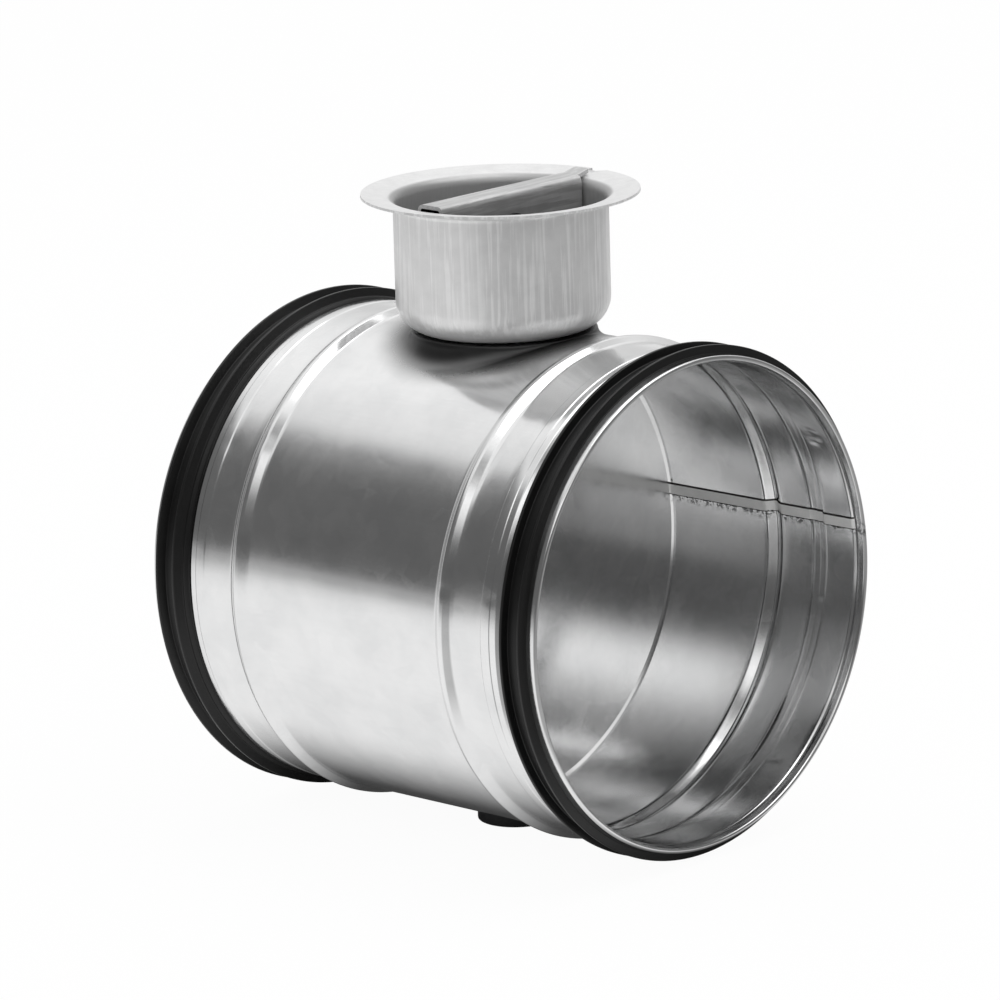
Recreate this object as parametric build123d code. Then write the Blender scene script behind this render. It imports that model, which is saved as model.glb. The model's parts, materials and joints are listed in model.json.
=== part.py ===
from build123d import *
import os
from math import asin, cos, degrees, radians, sin, sqrt, tan

# Volume control damper for round ventilation duct, nominal 160 mm, with a handle sunk in a cup.
#
# Frame: X runs along the duct (outlet at +X), +Z runs up the blade's spindle towards the cup, and
# the origin is under the middle of the damper, on the flat foot of the lower bush. Millimetres.
# The model is drawn with the blade closed, which is also the rest pose of its one joint.

# ---------------------------------------------------------------- duct casing
SHEET = 0.7                  # galvanised sheet of the casing
SPIGOT_RADIUS = 79.35        # outside of the tube, for a 160 mm duct
HALF_LENGTH = 84.0           # from the spindle to either end
HEM_PROUD = 0.3              # folded end outside the tube
HEM_RETURN = 3.4             # length of the leg that is folded back
HEM_GAP = 0.4                # space left inside the fold
BEAD_HALF_WIDTH = 3.6        # stop bead, which ends the push-in length
BEAD_HEIGHT = 2.0
RIDGE_FROM_END = 23.0        # start of the low rolled ridge on the spigot
RIDGE_WIDTH = 3.5
RIDGE_HEIGHT = 0.25
GROOVE_FROM_END = 17.0       # start of the gasket's seat
GROOVE_DEPTH = 1.35          # of that seat below the tube
GROOVE_FLARE = 2.5           # length over which the tube widens again to the hem
GROOVE_STEP = 1.4            # length of the step down into the groove
ROLL_BLEND = 1.2             # bend radius of the rolled forms

# ---------------------------------------------------------------- pressed seat for the cup
SEAT_PROUD = 0.25            # flat of the seat above the crown of the tube
SEAT_RADIUS = 30.0
SEAT_DRAFT = 16.0            # degrees
SEAT_EDGE = 1.5              # rounded top edge
SEAT_FOOT = 8.0              # rounded foot, where the sheet flows out of the tube
SEAT_TO_BEAD = 2.2           # plain tube between that foot and the stop bead

# ---------------------------------------------------------------- gaskets
LIP_HEIGHT = 2.7             # crest of both sealing lips over the band, free
LIP_OUTER_FROM_END = 4.4
LIP_INNER_FROM_END = 11.8
LIP_LAND = 1.0               # width of the crest
LIP_ROOT = 2.4               # width of a lip where it leaves the band
LIP_LEAN = 0.5               # crest leans this far to the end of the duct
BAND_THICK = 1.9             # rubber band under the lips
SEAT_CLEAR = 0.02            # rubber on sheet

# ---------------------------------------------------------------- cup
CUP_RADIUS = 34.6            # outside of the wall
CUP_SHEET = 0.8
CUP_CORNER = 8.0
CUP_HEIGHT = 44.7            # from its foot to the top edge of its flange
RIM_RADIUS = 44.9
RIM_RISE = 8.0               # degrees, slope of the flange
RIM_FLARE = 2.6              # bend radius from wall to flange
NOTCH_START = -1.0           # index notch in the flange: its sharp side
NOTCH_END = 6.0              # and its ramped side, along X
NOTCH_DEPTH = 3.2
NOTCH_RAMP = 2.5

# ---------------------------------------------------------------- spindle, pivot and bushes
SHAFT_RADIUS = 4.0
SHAFT_FLATS = 6.6            # across the two flats of the spindle's upper end
SHAFT_CHAMFER = 0.6
SHAFT_CLEAR = 0.05           # radial running clearance in the bushes
TONGUE_WIDTH = 11.0
TONGUE_THICK = 2.8
TONGUE_LENGTH = 32.0
SPINDLE_OVER_BOLT = 6.0      # spindle above the handle screw
BUSH_RADIUS = 6.9            # sleeve of a bush
BUSH_FLANGE_RADIUS = 9.4
BUSH_FLANGE = 2.0
BUSH_REACH = 4.4             # how far a bush reaches into the duct, from the sheet
BUSH_HOLE_CLEAR = 0.1
BOSS_RADIUS = 13.1           # foot of the lower bush
BUSH_PROUD = 4.65            # height of that foot below the tube
BOSS_EDGE = 0.8
PIVOT_END_GAP = 0.5          # under the pivot, in its blind bore
BLIND_WALL = 3.0             # closed bottom of the lower bush
CLIP_RADIUS = 9.4            # push-on clips that hold the bushes
CLIP_THICK = 0.8
CLIP_GROOVE = 0.5
CLIP_SLIT = 2.3              # length of the slits, from inside the bore
SEAL_SECTION = 1.8           # width and height of the spindle's seal ring
SEAL_BELOW_TOP = 1.7         # seal groove below the bush's top face
SEAL_CLEAR = 0.1             # seal round the spindle and in its groove

# ---------------------------------------------------------------- blade
BLADE_GAP = 1.15             # radial gap between blade and casing
BLADE_SHEET = 1.0
BLADE_NOTCH_CLEAR = 1.1      # beside and below the clips
STRAP_WIDTH = 15.0
STRAP_THICK = 1.2
STRAP_MARGIN = 1.0           # strap shorter than the tongue at each end
BLADE_RIVET_RADIUS = 1.6
BLADE_RIVET_HEAD = 2.9
RIVET_PITCH = 16.0
TONGUE_STEP = 0.3            # from the blade's notch to the round of the shaft

# ---------------------------------------------------------------- stop plate and axial stack
STOP_PLATE = 1.5
STOP_PLATE_RADIUS = 19.0
STOP_PLATE_HUB = 11.5
STOP_TRAVEL = 90.0           # degrees between open and closed
STOP_PIN_RADIUS = 2.0
STOP_PIN_CIRCLE = 15.2
STOP_PIN_ANGLE = 15.0        # degrees from +X
STOP_PIN_COLLAR = 3.2
STOP_PIN_COLLAR_HEIGHT = 1.4
STOP_PIN_OVER_PLATE = 1.0
STOP_GAP = 0.3
PLAY = 0.1                   # axial play and clearance between flat faces that turn
SPRING_HEIGHT = 1.1
SPRING_SHEET = 0.5
SPRING_RADIUS = 7.5
RING_THICK = 0.8
RING_RADIUS = 6.8
RING_GROOVE = 0.9
RING_MOUTH = 5.0             # opening of the retaining ring

# ---------------------------------------------------------------- cup rivets and all rivet heads
CUP_RIVETS = 4
CUP_RIVET_CIRCLE = 23.0
CUP_RIVET_RADIUS = 1.6
CUP_RIVET_HEAD = 3.2
RIVET_HEAD_HEIGHT = 1.2
RIVET_HEAD_SLOPE = 0.8       # chamfer round a head
RIVET_TAIL_HEIGHT = 1.0
RIVET_TAIL_LESS = 0.5        # tail narrower than the head

# ---------------------------------------------------------------- handle
HANDLE_SHEET = 1.25
HANDLE_HALF_LENGTH = 32.7
HANDLE_FLUSH = 0.05          # top of the handle above the flange's edge
HANDLE_DEPTH = 30.0
HANDLE_BEND = 2.0            # outside bend radius
HANDLE_SHAFT_CLEAR = 0.05
HANDLE_CORNER = 9.0          # rounded lower corners of the side plates
POINTER_WIDTH = 6.4
POINTER_LENGTH = 5.6
POINTER_RISE = 12.0          # degrees
SCREW_RADIUS = 2.5           # M5 flanged button-head screw
SCREW_LENGTH = 16.0
SCREW_FLANGE = 5.9
SCREW_FLANGE_THICK = 0.9
SCREW_DOME_RADIUS = 4.75
SCREW_HEAD = 2.75
SCREW_SOCKET = 3.0           # across flats
SCREW_SOCKET_DEPTH = 1.6
SCREW_HOLE_CLEAR = 0.15
SCREW_BELOW_TOP = 12.9       # screw axis below the handle's top
WASHER_RADIUS = 5.0
WASHER_THICK = 1.0
NUT_FLATS = 8.0
NUT_HEIGHT = 4.0

# ---------------------------------------------------------------- levels that follow from the sizes
AXIS_Z = SPIGOT_RADIUS + BUSH_PROUD                  # duct axis above the foot
BORE_RADIUS = SPIGOT_RADIUS - SHEET                  # inside of the tube
HEM_RADIUS = SPIGOT_RADIUS + HEM_PROUD
HEM_LEG = HEM_RADIUS - SHEET - HEM_GAP               # outside of the leg inside the fold
FOLD_X = HALF_LENGTH - HEM_RETURN
MIDDLE_HALF = SEAT_RADIUS + SEAT_FOOT + SEAT_TO_BEAD # plain tube on both sides of the spindle
BEAD_X = MIDDLE_HALF + ROLL_BLEND + BEAD_HALF_WIDTH
RIDGE_X = HALF_LENGTH - RIDGE_FROM_END
GROOVE_X = HALF_LENGTH - GROOVE_FROM_END
GROOVE_RADIUS = SPIGOT_RADIUS - GROOVE_DEPTH
BAND_TOP = GROOVE_RADIUS + BAND_THICK
LIP_RADIUS = BAND_TOP + LIP_HEIGHT
SEAT_SHIFT = SHEET / cos(radians(SEAT_DRAFT)) - SHEET * tan(radians(SEAT_DRAFT))
SEAT_TOP = AXIS_Z + SPIGOT_RADIUS + SEAT_PROUD       # the cup stands here
SEAT_UNDER = SEAT_TOP - SHEET
CUP_FLOOR = SEAT_TOP + CUP_SHEET
RIM_TOP = SEAT_TOP + CUP_HEIGHT
BUSH_TOP = CUP_FLOOR + BUSH_FLANGE
UPPER_BUSH_END = SEAT_UNDER - BUSH_REACH
LOWER_BUSH_END = AXIS_Z - BORE_RADIUS + BUSH_REACH
STOP_PLATE_Z = BUSH_TOP + PLAY
SPRING_Z = STOP_PLATE_Z + STOP_PLATE
RING_Z = SPRING_Z + SPRING_HEIGHT
HANDLE_TOP = RIM_TOP + HANDLE_FLUSH
SCREW_Z = HANDLE_TOP - SCREW_BELOW_TOP
SPINDLE_TOP = SCREW_Z + SPINDLE_OVER_BOLT
BLADE_RADIUS = BORE_RADIUS - BLADE_GAP
NOTCH_HALF = CLIP_RADIUS + BLADE_NOTCH_CLEAR
NOTCH_TOP = UPPER_BUSH_END - 2 * BLADE_NOTCH_CLEAR   # the blade ends here beside the spindle
NOTCH_BOTTOM = 2 * AXIS_Z - NOTCH_TOP
BUSH_HOLE = BUSH_RADIUS + BUSH_HOLE_CLEAR
SHAFT_BORE = SHAFT_RADIUS + SHAFT_CLEAR
RIVET_HOLE = CUP_RIVET_RADIUS + SEAT_CLEAR
BLADE_RIVET_HOLE = BLADE_RIVET_RADIUS + SEAT_CLEAR
BLADE_FRONT = BLADE_SHEET / 2
BLADE_BACK = -BLADE_SHEET / 2
HANDLE_INNER_HALF = SHAFT_RADIUS + HANDLE_SHAFT_CLEAR
HANDLE_HALF_WIDTH = HANDLE_INNER_HALF + HANDLE_SHEET
SCREW_HOLE = SCREW_RADIUS + SCREW_HOLE_CLEAR

PARTS = {}


def keep(name, *solids):
    """Store a piece, or a group of like pieces, under its node's name."""
    shape = solids[0] if len(solids) == 1 else Compound(children=list(solids))
    shape.label = name
    PARTS[name] = shape


def sheet_band(points, radii, thickness, side):
    """Section of a bent sheet, from the line of one face, its bend radii and its thickness."""
    line = FilletPolyline(*points, radius=radii)
    band = offset(line, amount=thickness, side=side, closed=True, kind=Kind.INTERSECTION)
    return make_face(band.edges())


def along_duct(face):
    """Turn a face drawn as (x, radius) about the duct's axis."""
    return Pos(0, 0, AXIS_Z) * revolve(Plane.XZ * face, axis=Axis.X)


def about_spindle(face):
    """Turn a face drawn as (radius, height) about the spindle's axis."""
    return revolve(Plane.XZ * face, axis=Axis.Z)


def disc(radius, z_low, height, x=0.0, y=0.0):
    """Upright cylinder by its lower level."""
    return Pos(x, y, z_low) * Cylinder(radius, height, align=(Align.CENTER, Align.CENTER, Align.MIN))


def ring(outer, inner, z_low, height):
    """Flat washer about the spindle's axis."""
    return disc(outer, z_low, height) - disc(inner, z_low, height)


def cross_rod(radius, x_low, length, z):
    """Cylinder along X, in the plane of the spindle, by its lower end."""
    rod = Cylinder(radius, length, align=(Align.CENTER, Align.CENTER, Align.MIN))
    return Pos(x_low, 0, z) * Rot(0, 90, 0) * rod


def rivet(radius, head, grip):
    """Rivet along +Z, whose head stands on the level of the origin over sheets of this total thickness."""
    formed = disc(head, 0, RIVET_HEAD_HEIGHT)
    formed = chamfer(formed.edges().group_by(Axis.Z)[-1], RIVET_HEAD_SLOPE)
    shank = disc(radius, -grip, grip)
    tail = disc(head - RIVET_TAIL_LESS, -grip - RIVET_TAIL_HEIGHT, RIVET_TAIL_HEIGHT)
    return formed + shank + tail


# ---------------------------------------------------------------- casing
def rolled_end():
    """Section of the outlet's end: stop bead, low ridge, gasket groove and folded edge."""
    r = SPIGOT_RADIUS
    crest = BEAD_HALF_WIDTH / 3
    line = [
        (MIDDLE_HALF, r), (BEAD_X - BEAD_HALF_WIDTH, r), (BEAD_X - crest, r + BEAD_HEIGHT),
        (BEAD_X + crest, r + BEAD_HEIGHT), (BEAD_X + BEAD_HALF_WIDTH, r),
        (RIDGE_X - RIDGE_HEIGHT, r), (RIDGE_X + RIDGE_HEIGHT, r + RIDGE_HEIGHT),
        (RIDGE_X + RIDGE_WIDTH, r + RIDGE_HEIGHT), (RIDGE_X + RIDGE_WIDTH + RIDGE_HEIGHT, r),
        (GROOVE_X, r), (GROOVE_X + GROOVE_STEP, GROOVE_RADIUS),
        (FOLD_X - GROOVE_FLARE, GROOVE_RADIUS), (FOLD_X, HEM_LEG), (FOLD_X + SHEET, HEM_LEG),
    ]
    bends = [ROLL_BLEND] * 4 + [0] * 4 + [SHEET] * 2 + [0] * 2
    sheet = sheet_band(line, bends, SHEET, Side.RIGHT)
    slot_length = HEM_RETURN - SHEET
    middle = HEM_LEG + HEM_GAP / 2
    fold = Pos(FOLD_X + HEM_RETURN / 2, middle) * Rectangle(HEM_RETURN, 2 * SHEET + HEM_GAP)
    fold = fillet(fold.vertices().group_by(Axis.X)[-1], SHEET)
    slot = Pos(FOLD_X + slot_length / 2, middle) * Rectangle(slot_length, HEM_GAP)
    return sheet + (fold - slot)


def seat_form(tube, seat, top, edge, foot):
    """One skin of the tube's middle with the flat seat raised from it, as a full solid."""
    form = Pos(0, 0, AXIS_Z) * Rot(0, 90, 0) * Cylinder(tube, 2 * MIDDLE_HALF)
    spread = seat * tan(radians(SEAT_DRAFT))
    cone = Cone(seat + spread, seat, seat, align=(Align.CENTER, Align.CENTER, Align.MAX))
    cone = Pos(0, 0, top) * cone
    form += fillet(cone.edges().group_by(Axis.Z)[-1], edge)
    meeting = [e for e in form.edges() if e.geom_type == GeomType.BSPLINE]
    return fillet(meeting, foot)


def floor_holes(shape, z_low, height):
    """Cut the holes for the upper bush, the rivets and the stop pin from a sheet."""
    shape -= disc(BUSH_HOLE, z_low, height)
    for x, y in rivet_places() + [pin_place()]:
        shape -= disc(RIVET_HOLE, z_low, height, x, y)
    return shape


def make_casing():
    """Tube rolled at both ends, with the pressed seat under the cup."""
    outer = seat_form(SPIGOT_RADIUS, SEAT_RADIUS, SEAT_TOP, SEAT_EDGE, SEAT_FOOT)
    inner = seat_form(BORE_RADIUS, SEAT_RADIUS - SEAT_SHIFT, SEAT_UNDER, SEAT_EDGE - SHEET, SEAT_FOOT + SHEET)
    end = along_duct(rolled_end())
    casing = (outer - inner) + end + mirror(end, Plane.YZ)
    casing -= disc(BUSH_HOLE, 0, AXIS_Z)
    return floor_holes(casing, SEAT_UNDER - SHEET, 3 * SHEET)


# ---------------------------------------------------------------- gaskets
def gasket_section():
    """Rubber band in the outlet's groove with its two sealing lips."""
    start = GROOVE_X + GROOVE_STEP + SHEET / 2        # past the groove's bend
    floor = GROOVE_RADIUS + SEAT_CLEAR
    points = [(start, floor), (FOLD_X - GROOVE_FLARE, floor)]
    points += [(FOLD_X, HEM_LEG + SEAT_CLEAR), (FOLD_X, BAND_TOP)]
    for from_end in (LIP_OUTER_FROM_END, LIP_INNER_FROM_END):
        crest = HALF_LENGTH - from_end
        root = crest - LIP_LEAN
        points += [(root + LIP_ROOT / 2, BAND_TOP), (crest + LIP_LAND / 2, LIP_RADIUS),
                   (crest - LIP_LAND / 2, LIP_RADIUS), (root - LIP_ROOT / 2, BAND_TOP)]
    points += [(start + BAND_THICK / 2, BAND_TOP), (start, BAND_TOP - BAND_THICK / 2)]
    return make_face(Polyline(*points, close=True))


# ---------------------------------------------------------------- cup
def rivet_places():
    """Centres of the rivets that hold the cup to its seat."""
    angles = [radians(45 + 360 / CUP_RIVETS * i) for i in range(CUP_RIVETS)]
    return [(CUP_RIVET_CIRCLE * cos(a), CUP_RIVET_CIRCLE * sin(a)) for a in angles]


def pin_place():
    """Centre of the stop pin."""
    angle = radians(STOP_PIN_ANGLE)
    return STOP_PIN_CIRCLE * cos(angle), STOP_PIN_CIRCLE * sin(angle)


def make_cup():
    """Deep-drawn cup with a flared flange, its holes and the index notch."""
    rise = radians(RIM_RISE)
    edge_z = RIM_TOP - CUP_SHEET * cos(rise)
    wall_top = edge_z - (RIM_RADIUS - CUP_RADIUS) * tan(rise)
    line = [(0, SEAT_TOP), (CUP_RADIUS, SEAT_TOP), (CUP_RADIUS, wall_top), (RIM_RADIUS, edge_z)]
    shell = about_spindle(sheet_band(line, [CUP_CORNER, RIM_FLARE], CUP_SHEET, Side.LEFT))
    floor_y = RIM_RADIUS - NOTCH_DEPTH
    outside = RIM_RADIUS + NOTCH_DEPTH
    ramp_end = sqrt(RIM_RADIUS ** 2 - NOTCH_END ** 2)
    notch = Polyline((NOTCH_START, outside), (NOTCH_START, floor_y), (NOTCH_END - NOTCH_RAMP, floor_y),
                     (NOTCH_END, ramp_end), (NOTCH_END, outside), close=True)
    shell -= Pos(0, 0, wall_top) * extrude(make_face(notch), RIM_TOP - wall_top + CUP_SHEET)
    return floor_holes(shell, SEAT_TOP - CUP_SHEET, 3 * CUP_SHEET)


def make_cup_rivet(x, y):
    """Rivet through the cup's floor and the seat."""
    return Pos(x, y, CUP_FLOOR) * rivet(CUP_RIVET_RADIUS, CUP_RIVET_HEAD, CUP_FLOOR - SEAT_UNDER)


def make_stop_pin():
    """Shouldered pin riveted into the cup's floor, which the stop plate turns against."""
    x, y = pin_place()
    grip = CUP_FLOOR - SEAT_UNDER
    top = SPRING_Z + STOP_PIN_OVER_PLATE
    pin = disc(STOP_PIN_COLLAR, CUP_FLOOR, STOP_PIN_COLLAR_HEIGHT, x, y)
    pin += disc(STOP_PIN_RADIUS, CUP_FLOOR, top - CUP_FLOOR, x, y)
    pin += disc(CUP_RIVET_RADIUS, SEAT_UNDER, grip, x, y)
    tail = disc(CUP_RIVET_HEAD - RIVET_TAIL_LESS, SEAT_UNDER - RIVET_TAIL_HEIGHT, RIVET_TAIL_HEIGHT, x, y)
    return pin + tail


# ---------------------------------------------------------------- bushes, clips and seal
def clip_groove(z_low):
    """Ring to cut a clip's groove into a bush's sleeve."""
    return ring(BUSH_RADIUS + CLIP_GROOVE, BUSH_RADIUS - CLIP_GROOVE, z_low, CLIP_THICK)


def upper_clip_z():
    """Level of the upper clip, against the flat under the seat."""
    return SEAT_UNDER - CLIP_THICK


def lower_clip_z():
    """Level of the lower clip, whose edges meet the curved sheet."""
    return AXIS_Z - sqrt(BORE_RADIUS ** 2 - CLIP_RADIUS ** 2) + SEAT_CLEAR


def make_upper_bush():
    """Flanged bush from inside the cup, with the seal's groove and the clip's groove."""
    body = disc(BUSH_RADIUS, UPPER_BUSH_END, CUP_FLOOR - UPPER_BUSH_END)
    body += disc(BUSH_FLANGE_RADIUS, CUP_FLOOR, BUSH_FLANGE)
    body -= disc(SHAFT_BORE, UPPER_BUSH_END, BUSH_TOP - UPPER_BUSH_END)
    seal_low = BUSH_TOP - SEAL_BELOW_TOP - SEAL_SECTION
    body -= disc(SHAFT_BORE + SEAL_SECTION + SEAL_CLEAR, seal_low, SEAL_SECTION)
    return body - clip_groove(upper_clip_z())


def make_lower_bush():
    """Blind bush with a round foot under the casing, shaped to the tube above."""
    crown = AXIS_Z - sqrt(SPIGOT_RADIUS ** 2 - BOSS_RADIUS ** 2)
    foot = disc(BOSS_RADIUS, 0, crown)
    foot = fillet(foot.edges().group_by(Axis.Z)[0], BOSS_EDGE)
    foot -= Pos(0, 0, AXIS_Z) * Rot(0, 90, 0) * Cylinder(SPIGOT_RADIUS + SEAT_CLEAR, 4 * BOSS_RADIUS)
    sleeve = disc(BUSH_RADIUS, BLIND_WALL, LOWER_BUSH_END - BLIND_WALL)
    bore = disc(SHAFT_BORE, BLIND_WALL, LOWER_BUSH_END)
    return foot + sleeve - bore - clip_groove(lower_clip_z())


def make_clip(z_low):
    """Push-on clip with three slits, whose tabs grip the sleeve."""
    inner = BUSH_RADIUS - CLIP_GROOVE + SEAT_CLEAR
    clip = ring(CLIP_RADIUS, inner, z_low, CLIP_THICK)
    for turn in range(0, 360, 120):
        slit = Box(CLIP_SLIT, CLIP_THICK, 2 * CLIP_THICK, align=(Align.MIN, Align.CENTER, Align.CENTER))
        clip -= Rot(0, 0, turn) * Pos(inner - CLIP_GROOVE, 0, z_low) * slit
    return clip


def make_seal():
    """Rubber ring round the spindle, in the upper bush."""
    inner = SHAFT_BORE + SEAL_CLEAR
    z_low = BUSH_TOP - SEAL_BELOW_TOP - SEAL_SECTION
    return ring(inner + SEAL_SECTION - SEAL_CLEAR, inner, z_low, SEAL_SECTION)


# ---------------------------------------------------------------- spindle, pivot and blade
def rivet_levels(z_end):
    """Heights of the two rivets in the tongue that ends at this height inside the duct."""
    inwards = 1 if z_end > AXIS_Z else -1
    first = z_end + inwards * (TONGUE_LENGTH - RIVET_PITCH) / 2
    return [first, first + inwards * RIVET_PITCH]


def all_rivet_levels():
    """Heights of the four blade rivets."""
    return rivet_levels(NOTCH_TOP - TONGUE_LENGTH) + rivet_levels(NOTCH_BOTTOM + TONGUE_LENGTH)


def rivet_holes(shape, x_low, length):
    """Cut the blade rivets' holes from a piece."""
    for z in all_rivet_levels():
        shape -= cross_rod(BLADE_RIVET_HOLE, x_low, length, z)
    return shape


def tongue(z_end, z_shoulder):
    """Flattened end of a shaft, which lies against the back of the blade."""
    z_low, z_high = sorted((z_end, z_shoulder))
    plate = Box(TONGUE_THICK, TONGUE_WIDTH, z_high - z_low, align=(Align.MAX, Align.CENTER, Align.MIN))
    plate = Pos(BLADE_BACK, 0, z_low) * plate
    tip = [e for e in plate.edges().filter_by(Axis.X) if abs(e.center().Z - z_end) < SEAT_CLEAR]
    return rivet_holes(fillet(tip, TONGUE_WIDTH / 4), BLADE_BACK - TONGUE_THICK, TONGUE_THICK)


def make_spindle():
    """Upper shaft: tongue, round journal and double-flat end for the stop plate and the handle."""
    z_low = NOTCH_TOP + TONGUE_STEP
    journal = disc(SHAFT_RADIUS, z_low, BUSH_TOP - z_low)
    top = disc(SHAFT_RADIUS, BUSH_TOP, SPINDLE_TOP - BUSH_TOP)
    top = chamfer(top.edges().group_by(Axis.Z)[-1], SHAFT_CHAMFER)
    flats = Box(2 * SHAFT_RADIUS, SHAFT_FLATS, SPINDLE_TOP, align=(Align.CENTER, Align.CENTER, Align.MIN))
    top = (top & flats) - cross_rod(SCREW_HOLE, -SHAFT_RADIUS, 2 * SHAFT_RADIUS, SCREW_Z)
    top -= ring(2 * SHAFT_RADIUS, SHAFT_RADIUS - RING_GROOVE, RING_Z, RING_THICK)
    return journal + top + tongue(NOTCH_TOP - TONGUE_LENGTH, NOTCH_TOP + BLADE_NOTCH_CLEAR)


def make_pivot():
    """Lower shaft: tongue and round journal that stands in the lower bush."""
    z_low = BLIND_WALL + PIVOT_END_GAP
    journal = disc(SHAFT_RADIUS, z_low, NOTCH_BOTTOM - TONGUE_STEP - z_low)
    journal = chamfer(journal.edges().group_by(Axis.Z)[0], SHAFT_CHAMFER)
    return journal + tongue(NOTCH_BOTTOM + TONGUE_LENGTH, NOTCH_BOTTOM - BLADE_NOTCH_CLEAR)


def make_blade():
    """Round blade, cut back round the bushes."""
    plate = cross_rod(BLADE_RADIUS, BLADE_BACK, BLADE_SHEET, AXIS_Z)
    for z, align in ((NOTCH_TOP, Align.MIN), (NOTCH_BOTTOM, Align.MAX)):
        cut = Box(2 * BLADE_SHEET, 2 * NOTCH_HALF, NOTCH_HALF, align=(Align.CENTER, Align.CENTER, align))
        plate -= Pos(0, 0, z) * cut
    return rivet_holes(plate, BLADE_BACK, BLADE_SHEET)


def make_strap(z_low):
    """Flat strap on the front of the blade, which the rivets pull against the tongue."""
    length = TONGUE_LENGTH - 2 * STRAP_MARGIN
    strap = Box(STRAP_THICK, STRAP_WIDTH, length, align=(Align.MIN, Align.CENTER, Align.MIN))
    strap = fillet(strap.edges().filter_by(Axis.X), STRAP_WIDTH / 5)
    return rivet_holes(Pos(BLADE_FRONT, 0, z_low + STRAP_MARGIN) * strap, BLADE_FRONT, STRAP_THICK)


def make_blade_rivet(z):
    """Rivet through strap, blade and tongue."""
    grip = STRAP_THICK + BLADE_SHEET + TONGUE_THICK
    place = Pos(BLADE_FRONT + STRAP_THICK, 0, z) * Rot(0, 90, 0)
    return place * rivet(BLADE_RIVET_RADIUS, BLADE_RIVET_HEAD, grip)


# ---------------------------------------------------------------- stack on the spindle
def flats_hole(z_low, height):
    """Hole that fits over the spindle's double-flat end."""
    across = SHAFT_FLATS + 2 * SHAFT_CLEAR
    slot = Box(2 * SHAFT_BORE, across, height, align=(Align.CENTER, Align.CENTER, Align.MIN))
    return disc(SHAFT_BORE, z_low, height) & (Pos(0, 0, z_low) * slot)


def make_stop_plate():
    """Round plate on the spindle's flats, with a window that lets the pin pass for the stated travel."""
    margin = degrees(asin((STOP_PIN_RADIUS + STOP_GAP) / STOP_PIN_CIRCLE))
    low = STOP_PIN_ANGLE - STOP_TRAVEL - margin
    high = STOP_PIN_ANGLE + margin
    reach = 3 * STOP_PLATE_RADIUS
    corners = [(reach * cos(radians(a)), reach * sin(radians(a))) for a in (low, (low + high) / 2, high)]
    sector = extrude(make_face(Polyline((0, 0), *corners, close=True)), STOP_PLATE)
    window = Pos(0, 0, STOP_PLATE_Z) * sector - disc(STOP_PLATE_HUB, STOP_PLATE_Z, STOP_PLATE)
    plate = disc(STOP_PLATE_RADIUS, STOP_PLATE_Z, STOP_PLATE)
    return plate - window - flats_hole(STOP_PLATE_Z, STOP_PLATE)


def make_spring_washer():
    """Conical spring that presses the stop plate on the bush, so that the blade stays where it is set."""
    hole = SHAFT_BORE + PLAY
    section = Polyline((SPRING_RADIUS, SPRING_Z), (hole, RING_Z - SPRING_SHEET), (hole, RING_Z),
                       (SPRING_RADIUS, SPRING_Z + SPRING_SHEET), close=True)
    return about_spindle(make_face(section))


def make_retaining_ring():
    """Open ring in the spindle's groove."""
    inner = SHAFT_RADIUS - RING_GROOVE + SEAT_CLEAR
    body = ring(RING_RADIUS, inner, RING_Z, RING_THICK)
    mouth = Box(RING_RADIUS, RING_MOUTH, RING_THICK, align=(Align.MIN, Align.CENTER, Align.MIN))
    return body - Pos(0, 0, RING_Z) * mouth


# ---------------------------------------------------------------- handle
def channel_section(half_width, depth, bend):
    """Section of a channel open downwards, filled, drawn as (x, z) from its lower edge."""
    block = Pos(0, depth / 2) * Rectangle(2 * half_width, depth)
    return fillet(block.vertices().group_by(Axis.Y)[-1], bend)


def make_handle():
    """Channel folded from one strip, open underneath, with a pointer bent up over the flange."""
    section = channel_section(HANDLE_HALF_WIDTH, HANDLE_DEPTH, HANDLE_BEND)
    section -= channel_section(HANDLE_INNER_HALF, HANDLE_DEPTH - HANDLE_SHEET, HANDLE_BEND - HANDLE_SHEET)
    channel = extrude(Plane.XZ * section, HANDLE_HALF_LENGTH, both=True)
    side = Pos(0, HANDLE_DEPTH / 2) * Rectangle(2 * HANDLE_HALF_LENGTH, HANDLE_DEPTH)
    side = fillet(side.vertices().group_by(Axis.Y)[0], HANDLE_CORNER)
    channel &= extrude(Plane.YZ * side, HANDLE_HALF_WIDTH, both=True)
    rise = radians(POINTER_RISE)
    start = HANDLE_HALF_LENGTH + HANDLE_SHEET / 2
    line = [(start - 3 * HANDLE_SHEET, HANDLE_DEPTH), (start, HANDLE_DEPTH),
            (start + POINTER_LENGTH * cos(rise), HANDLE_DEPTH + POINTER_LENGTH * sin(rise))]
    pointer = sheet_band(line, [HANDLE_BEND], HANDLE_SHEET, Side.RIGHT)
    pointer = extrude(Plane.YZ * pointer, POINTER_WIDTH / 2, both=True)
    end = pointer.faces().sort_by(Axis.Y)[-1]
    pointer = fillet(end.edges().filter_by(Axis.X, reverse=True), POINTER_WIDTH / 5)
    handle = Pos(0, 0, HANDLE_TOP - HANDLE_DEPTH) * (channel + pointer)
    return handle - cross_rod(SCREW_HOLE, -HANDLE_HALF_WIDTH, 2 * HANDLE_HALF_WIDTH, SCREW_Z)


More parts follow.
